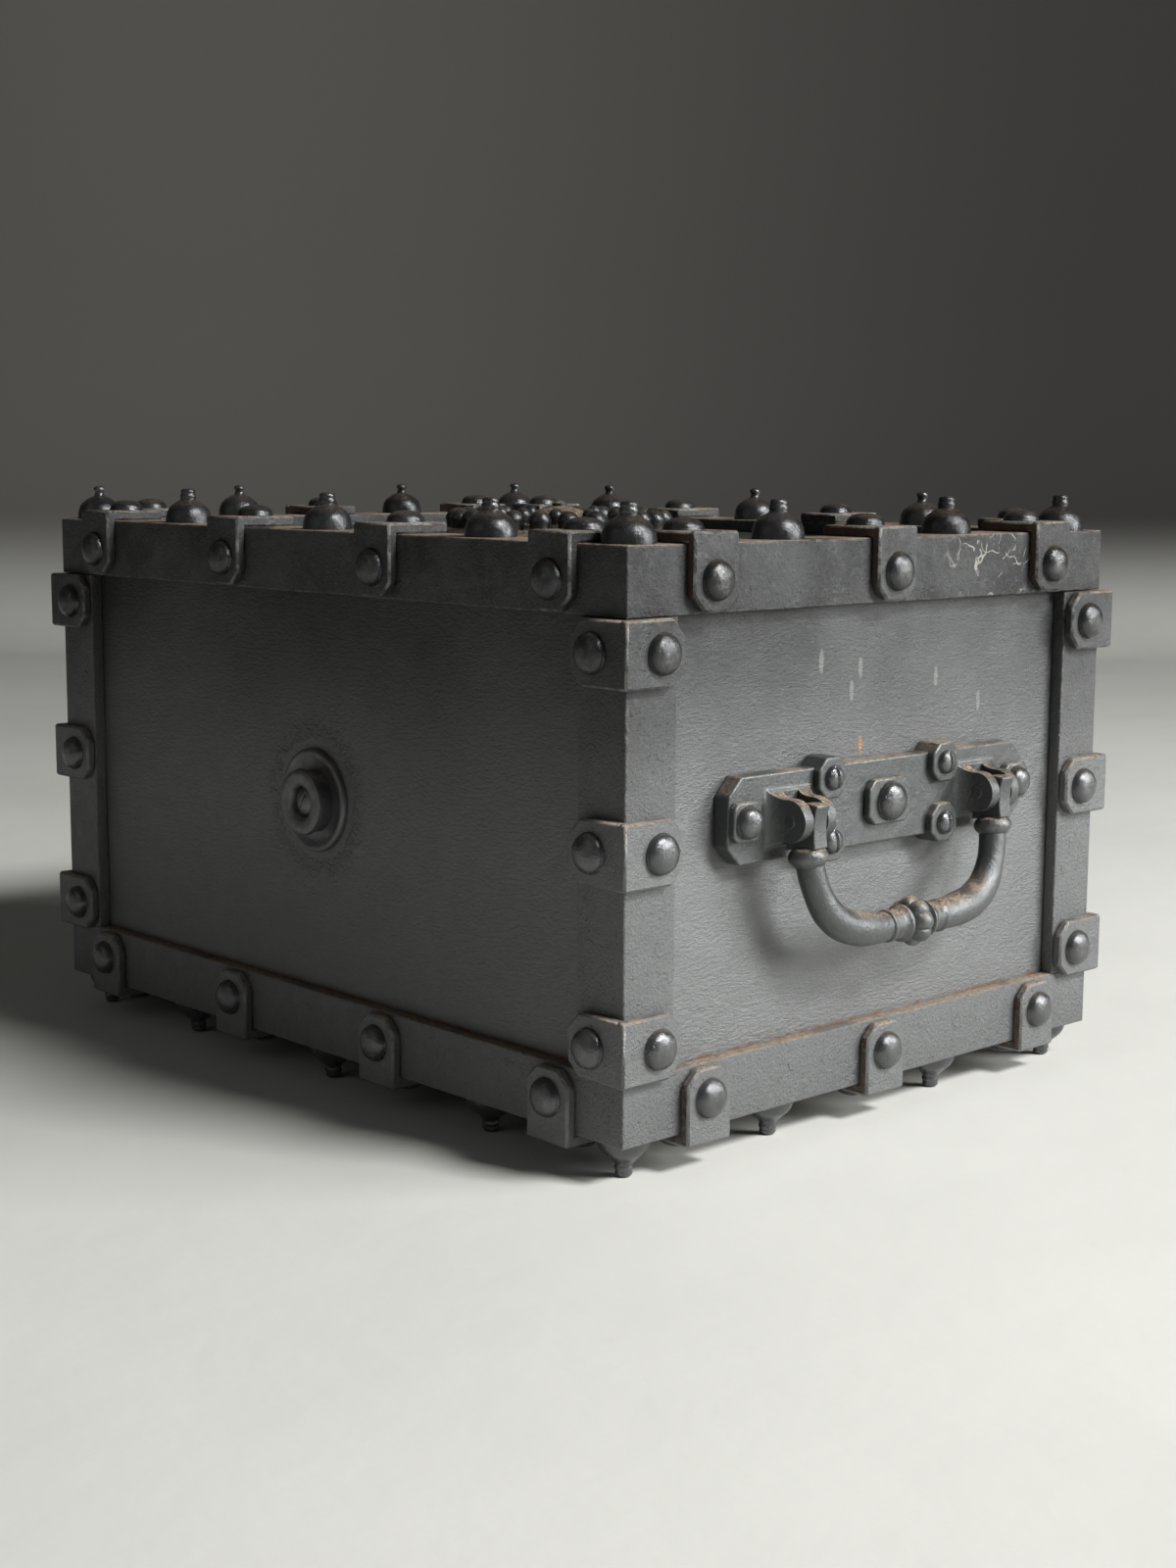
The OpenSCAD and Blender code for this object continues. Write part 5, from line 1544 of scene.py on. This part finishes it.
class STRONGBOX_OT_bails(bpy.types.Operator):
    """Make the brackets, the pivot pins and the swinging bails"""
    bl_idname = "strongbox.bails"
    bl_label = "Brackets and bails"

    def execute(self, context):
        sizes = context.scene.strongbox_handle
        dressed("pivot_pins", 0.6 * MM)
        for word, side in HANDLE_SIDES.items():
            at = handle_frame(side) @ moved(0, sizes.rise, sizes.plate_t)
            forks = [at @ moved(x, 0, 0) for x in (-sizes.span / 2, sizes.span / 2)]
            scattered("handle_brackets_" + word, [(fork(sizes), forks, side, 0, 0)])
            form = bmesh.new()
            bail_bar(form, sizes)
            bail_grip(form, sizes)
            bail_end(form, sizes, 1)
            bail_end(form, sizes, -1)
            uneven(form, 0.2 * MM, 0.015, side)
            form.transform(at @ moved(0, 0, sizes.pivot_out) @ Matrix.Rotation(-sizes.lean, 4, "X"))
            piece(mesh_from(form, "bail", 50), "bail_" + word)
        return {"FINISHED"}


# Lid ornament and keyhole cover

def ring_of(number, radius, height):
    """Frames round the middle of the lid."""
    return [turned(360 * (i + 0.5) / number, "Z") @ moved(radius, 0, height) for i in range(number)]


def lobe_model(sizes):
    """A round-topped lobe on a slightly waisted foot."""
    r = sizes.lobe_d / 2
    straight = sizes.lobe_h - r
    profile = [(0, -1 * MM), (r * 0.9, -1 * MM), (r * 0.9, straight * 0.7), (r, straight)]
    profile += on_circle((0, straight), r, (15, 32, 50, 68)) + [(0, straight + r)]
    form = bmesh.new()
    lathe(form, profile, 24, rub=rubbed_top(sizes.lobe_h * 0.5, sizes.lobe_h))
    uneven(form, 0.2 * MM, 0.008)
    return mesh_from(form, "lobe", 50)


def knob_model(sizes):
    """A small ball on a short neck."""
    r = sizes.knob_d / 2
    centre = 1.5 * MM + 0.76 * r
    profile = [(0, -1 * MM), (r * 0.7, -1 * MM), (r * 0.66, 1.6 * MM), (r * 0.9, 2.6 * MM)]
    profile += on_circle((0, centre), r, (0, 18, 36, 54, 72)) + [(0, centre + r)]
    form = bmesh.new()
    lathe(form, profile, 20, rub=rubbed_top(centre, centre + r))
    return mesh_from(form, "knob", 50)


class STRONGBOX_OT_ornament(bpy.types.Operator):
    """Make the ornament in the middle of the lid, with its lobes, knobs and keyhole cover"""
    bl_idname = "strongbox.ornament"
    bl_label = "Lid ornament"

    def execute(self, context):
        sizes = context.scene.strongbox_ornament
        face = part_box("lid_panel")[1].z + sizes.plate_t
        dressed("ornament_plate", 0.6 * MM, 30)
        dressed("keyhole_cover", 0.7 * MM, 30)
        dressed("cover_pin", 0.3 * MM)
        lobes = ring_of(sizes.lobes_n, sizes.lobe_ring, face)
        knobs = ring_of(sizes.knobs_n, sizes.knob_ring, face + sizes.band_h)
        scattered("ornament_lobes", [(lobe_model(sizes), lobes, 41, 0.04, 6.0)])
        scattered("ornament_knobs", [(knob_model(sizes), knobs, 42, 0.04, 6.0)])
        return {"FINISHED"}


# Hinges and lock

class STRONGBOX_OT_hinges(bpy.types.Operator):
    """Soften the hinges at the back"""
    bl_idname = "strongbox.hinges"
    bl_label = "Hinges"

    def execute(self, context):
        dressed("hinge_leaves_body", 0.5 * MM)
        dressed("hinge_leaves_lid", 0.5 * MM)
        dressed("hinge_pins", 0.3 * MM)
        return {"FINISHED"}


class STRONGBOX_OT_lock(bpy.types.Operator):
    """Soften the lock's plates, bolts, guides and spindle under the lid"""
    bl_idname = "strongbox.lock"
    bl_label = "Lock"

    def execute(self, context):
        for name in ("lock_plate", "lock_pillars", "bolt_guides", "lock_spindle", "lock_cam"):
            dressed(name, 0.4 * MM)
        for side in SIDES:
            dressed("bolt_" + side, 0.6 * MM)
        return {"FINISHED"}


# Stage

# The camera, solved from the edges of the box in the photograph: place, focal length and frame height in
# pixels, and turns in degrees
CAMERA_AT = (1.043, -0.945, 0.365)
FOCAL_PX, FRAME_PX = 2294, 1600
YAW, PITCH, ROLL = -47.06, 8.39, 0.33
SENSOR = 36     # height of the sensor, in mm

# Soft lamps: name, place, what they aim at, width and height, and watts
LAMPS = [
    ("key", (3.2, 0.8, 3.1), (0.2, -0.05, 0.1), (1.2, 0.8), 214),
    ("window", (2.1, 1.5, 0.9), (0.25, 0, 0.15), (1.1, 0.9), 52),
    ("fill", (-0.3, -2.4, 1.2), (0, 0, 0.15), (1.8, 1.4), 2),
]
AIR_STRENGTH = 0.08

# The floor and backdrop, in metres: to the front, to the bend, radius of the bend, height, and to each side
FLOOR_FRONT, FLOOR_BACK, BEND, BACKDROP_H, HALF_WIDE = 3.0, 2.6, 0.7, 4.0, 6.0


def stage_paint(finish, across):
    """Matt paint, faintly cloudy on the floor, and on the backdrop a painted shade, darker toward the right,
    where the lamps' light falls off.
    """
    material, tree, where, normal = new_material("pale painted floor and grey backdrop")
    up = node(tree, "ShaderNodeSeparateXYZ", {"Vector": where}).outputs["Z"]
    clouds = patches(tree, where, 400, 3, 0.55, 0.3, 0.7)
    pale = blend_colour(tree, clouds, shade(finish.floor, 0.94), finish.floor)
    sideways = node(tree, "ShaderNodeVectorMath", {0: where, 1: across}, operation="DOT_PRODUCT")
    # painted light and shade: the backdrop lighter at the left, darker at the right
    painted_falloff_to_right = ramp(tree, sideways.outputs["Value"], -1.2, 1.2)
    grey = blend_colour(tree, painted_falloff_to_right, shade(finish.wall, 1.3), shade(finish.wall, 0.45))
    colour = blend_colour(tree, ramp(tree, up, 0.0, 0.25), pale, grey)
    close_material(tree, colour, 0.8, bump(tree, grain(tree, where, 60, 5), 0.8), specular=0.15)
    return material


def sweep_stage(finish):
    """A pale floor that turns up into a plain grey backdrop."""
    form = bmesh.new()
    away = Vector((-math.sin(math.radians(47)), math.cos(math.radians(47)), 0))
    across = Vector((away.y, -away.x, 0))
    profile = [(-FLOOR_FRONT, 0)] + on_circle((FLOOR_BACK, BEND), BEND, range(-90, 1, 6))
    profile.append((FLOOR_BACK + BEND, BACKDROP_H))
    rows = [
        [form.verts.new(away * d + across * s + Vector((0, 0, z))) for s in (-HALF_WIDE, HALF_WIDE)]
        for d, z in profile
    ]
    for a, b in zip(rows, rows[1:]):
        form.faces.new((a[0], a[1], b[1], b[0]))
    bmesh.ops.recalc_face_normals(form, faces=form.faces)
    for face in form.faces:
        face.smooth = True
    mesh = plain_mesh(form, "stage_sweep")
    mesh.materials.append(stage_paint(finish, across))
    new_object("stage_sweep", mesh)


def lamp(name, at, aim, size, power):
    """A soft rectangular lamp that aims at a point."""
    data = bpy.data.lights.new(name, "AREA")
    data.shape = "RECTANGLE"
    data.size, data.size_y = size
    data.energy = power
    obj = new_object(name, data)
    obj.location = at
    obj.rotation_mode = "QUATERNION"
    obj.rotation_quaternion = (Vector(aim) - Vector(at)).to_track_quat("-Z", "Y")


def photo_camera():
    """The camera, where the photograph was taken from."""
    yaw, pitch, roll = (math.radians(a) for a in (YAW, PITCH, ROLL))
    ahead = Vector((math.sin(yaw) * math.cos(pitch), math.cos(yaw) * math.cos(pitch), -math.sin(pitch)))
    right = Vector((math.cos(yaw), -math.sin(yaw), 0))
    up = right.cross(ahead)
    across = math.cos(roll) * right + math.sin(roll) * up
    above = math.cos(roll) * up - math.sin(roll) * right
    data = bpy.data.cameras.new("camera")
    data.sensor_fit = "VERTICAL"
    data.sensor_height, data.sensor_width = SENSOR, SENSOR * 0.75
    data.lens = FOCAL_PX / FRAME_PX * SENSOR
    data.clip_start, data.clip_end = 0.01, 50
    obj = new_object("camera", data)
    obj.matrix_world = moved(*CAMERA_AT) @ Matrix((across, above, -ahead)).transposed().to_4x4()
    bpy.context.scene.camera = obj


class STRONGBOX_OT_stage(bpy.types.Operator):
    """Set the plain floor, the soft lamps and the photograph's camera"""
    bl_idname = "strongbox.stage"
    bl_label = "Stage, light and camera"

    def execute(self, context):
        finish = context.scene.strongbox_finish
        sweep_stage(finish)
        for setup in LAMPS:
            lamp(*setup)
        world = bpy.data.worlds.new("studio")
        world.use_nodes = True
        background = world.node_tree.nodes["Background"].inputs
        background["Color"].default_value = (*finish.air, 1)
        background["Strength"].default_value = AIR_STRENGTH
        context.scene.world = world
        context.scene.view_settings.view_transform = "Standard"
        photo_camera()
        return {"FINISHED"}


STEPS = [
    STRONGBOX_OT_stage, STRONGBOX_OT_panels, STRONGBOX_OT_irons, STRONGBOX_OT_clips, STRONGBOX_OT_studs,
    STRONGBOX_OT_finials, STRONGBOX_OT_boss, STRONGBOX_OT_handle_plates, STRONGBOX_OT_bails,
    STRONGBOX_OT_ornament, STRONGBOX_OT_hinges, STRONGBOX_OT_lock,
]


class STRONGBOX_PT_panel(bpy.types.Panel):
    """The strongbox's steps and sizes"""
    bl_idname = "STRONGBOX_PT_panel"
    bl_label = "Strongbox"
    bl_space_type = "VIEW_3D"
    bl_region_type = "UI"
    bl_category = "Strongbox"

    def draw(self, context):
        for step in STEPS:
            self.layout.operator(step.bl_idname)
        for name, group in GROUPS.items():
            box = self.layout.box()
            for key in group.__annotations__:
                box.prop(getattr(context.scene, name), key)


def register():
    for name, group in GROUPS.items():
        bpy.utils.register_class(group)
        setattr(bpy.types.Scene, name, bpy.props.PointerProperty(type=group))
    for cls in STEPS + [STRONGBOX_PT_panel]:
        bpy.utils.register_class(cls)


def unregister():
    for cls in [STRONGBOX_PT_panel] + STEPS[::-1]:
        bpy.utils.unregister_class(cls)
    for name, group in GROUPS.items():
        delattr(bpy.types.Scene, name)
        bpy.utils.unregister_class(group)


def main():
    register()
    for step in STEPS:
        getattr(bpy.ops.strongbox, step.bl_idname.split(".")[1])()


if __name__ == "__main__":
    main()
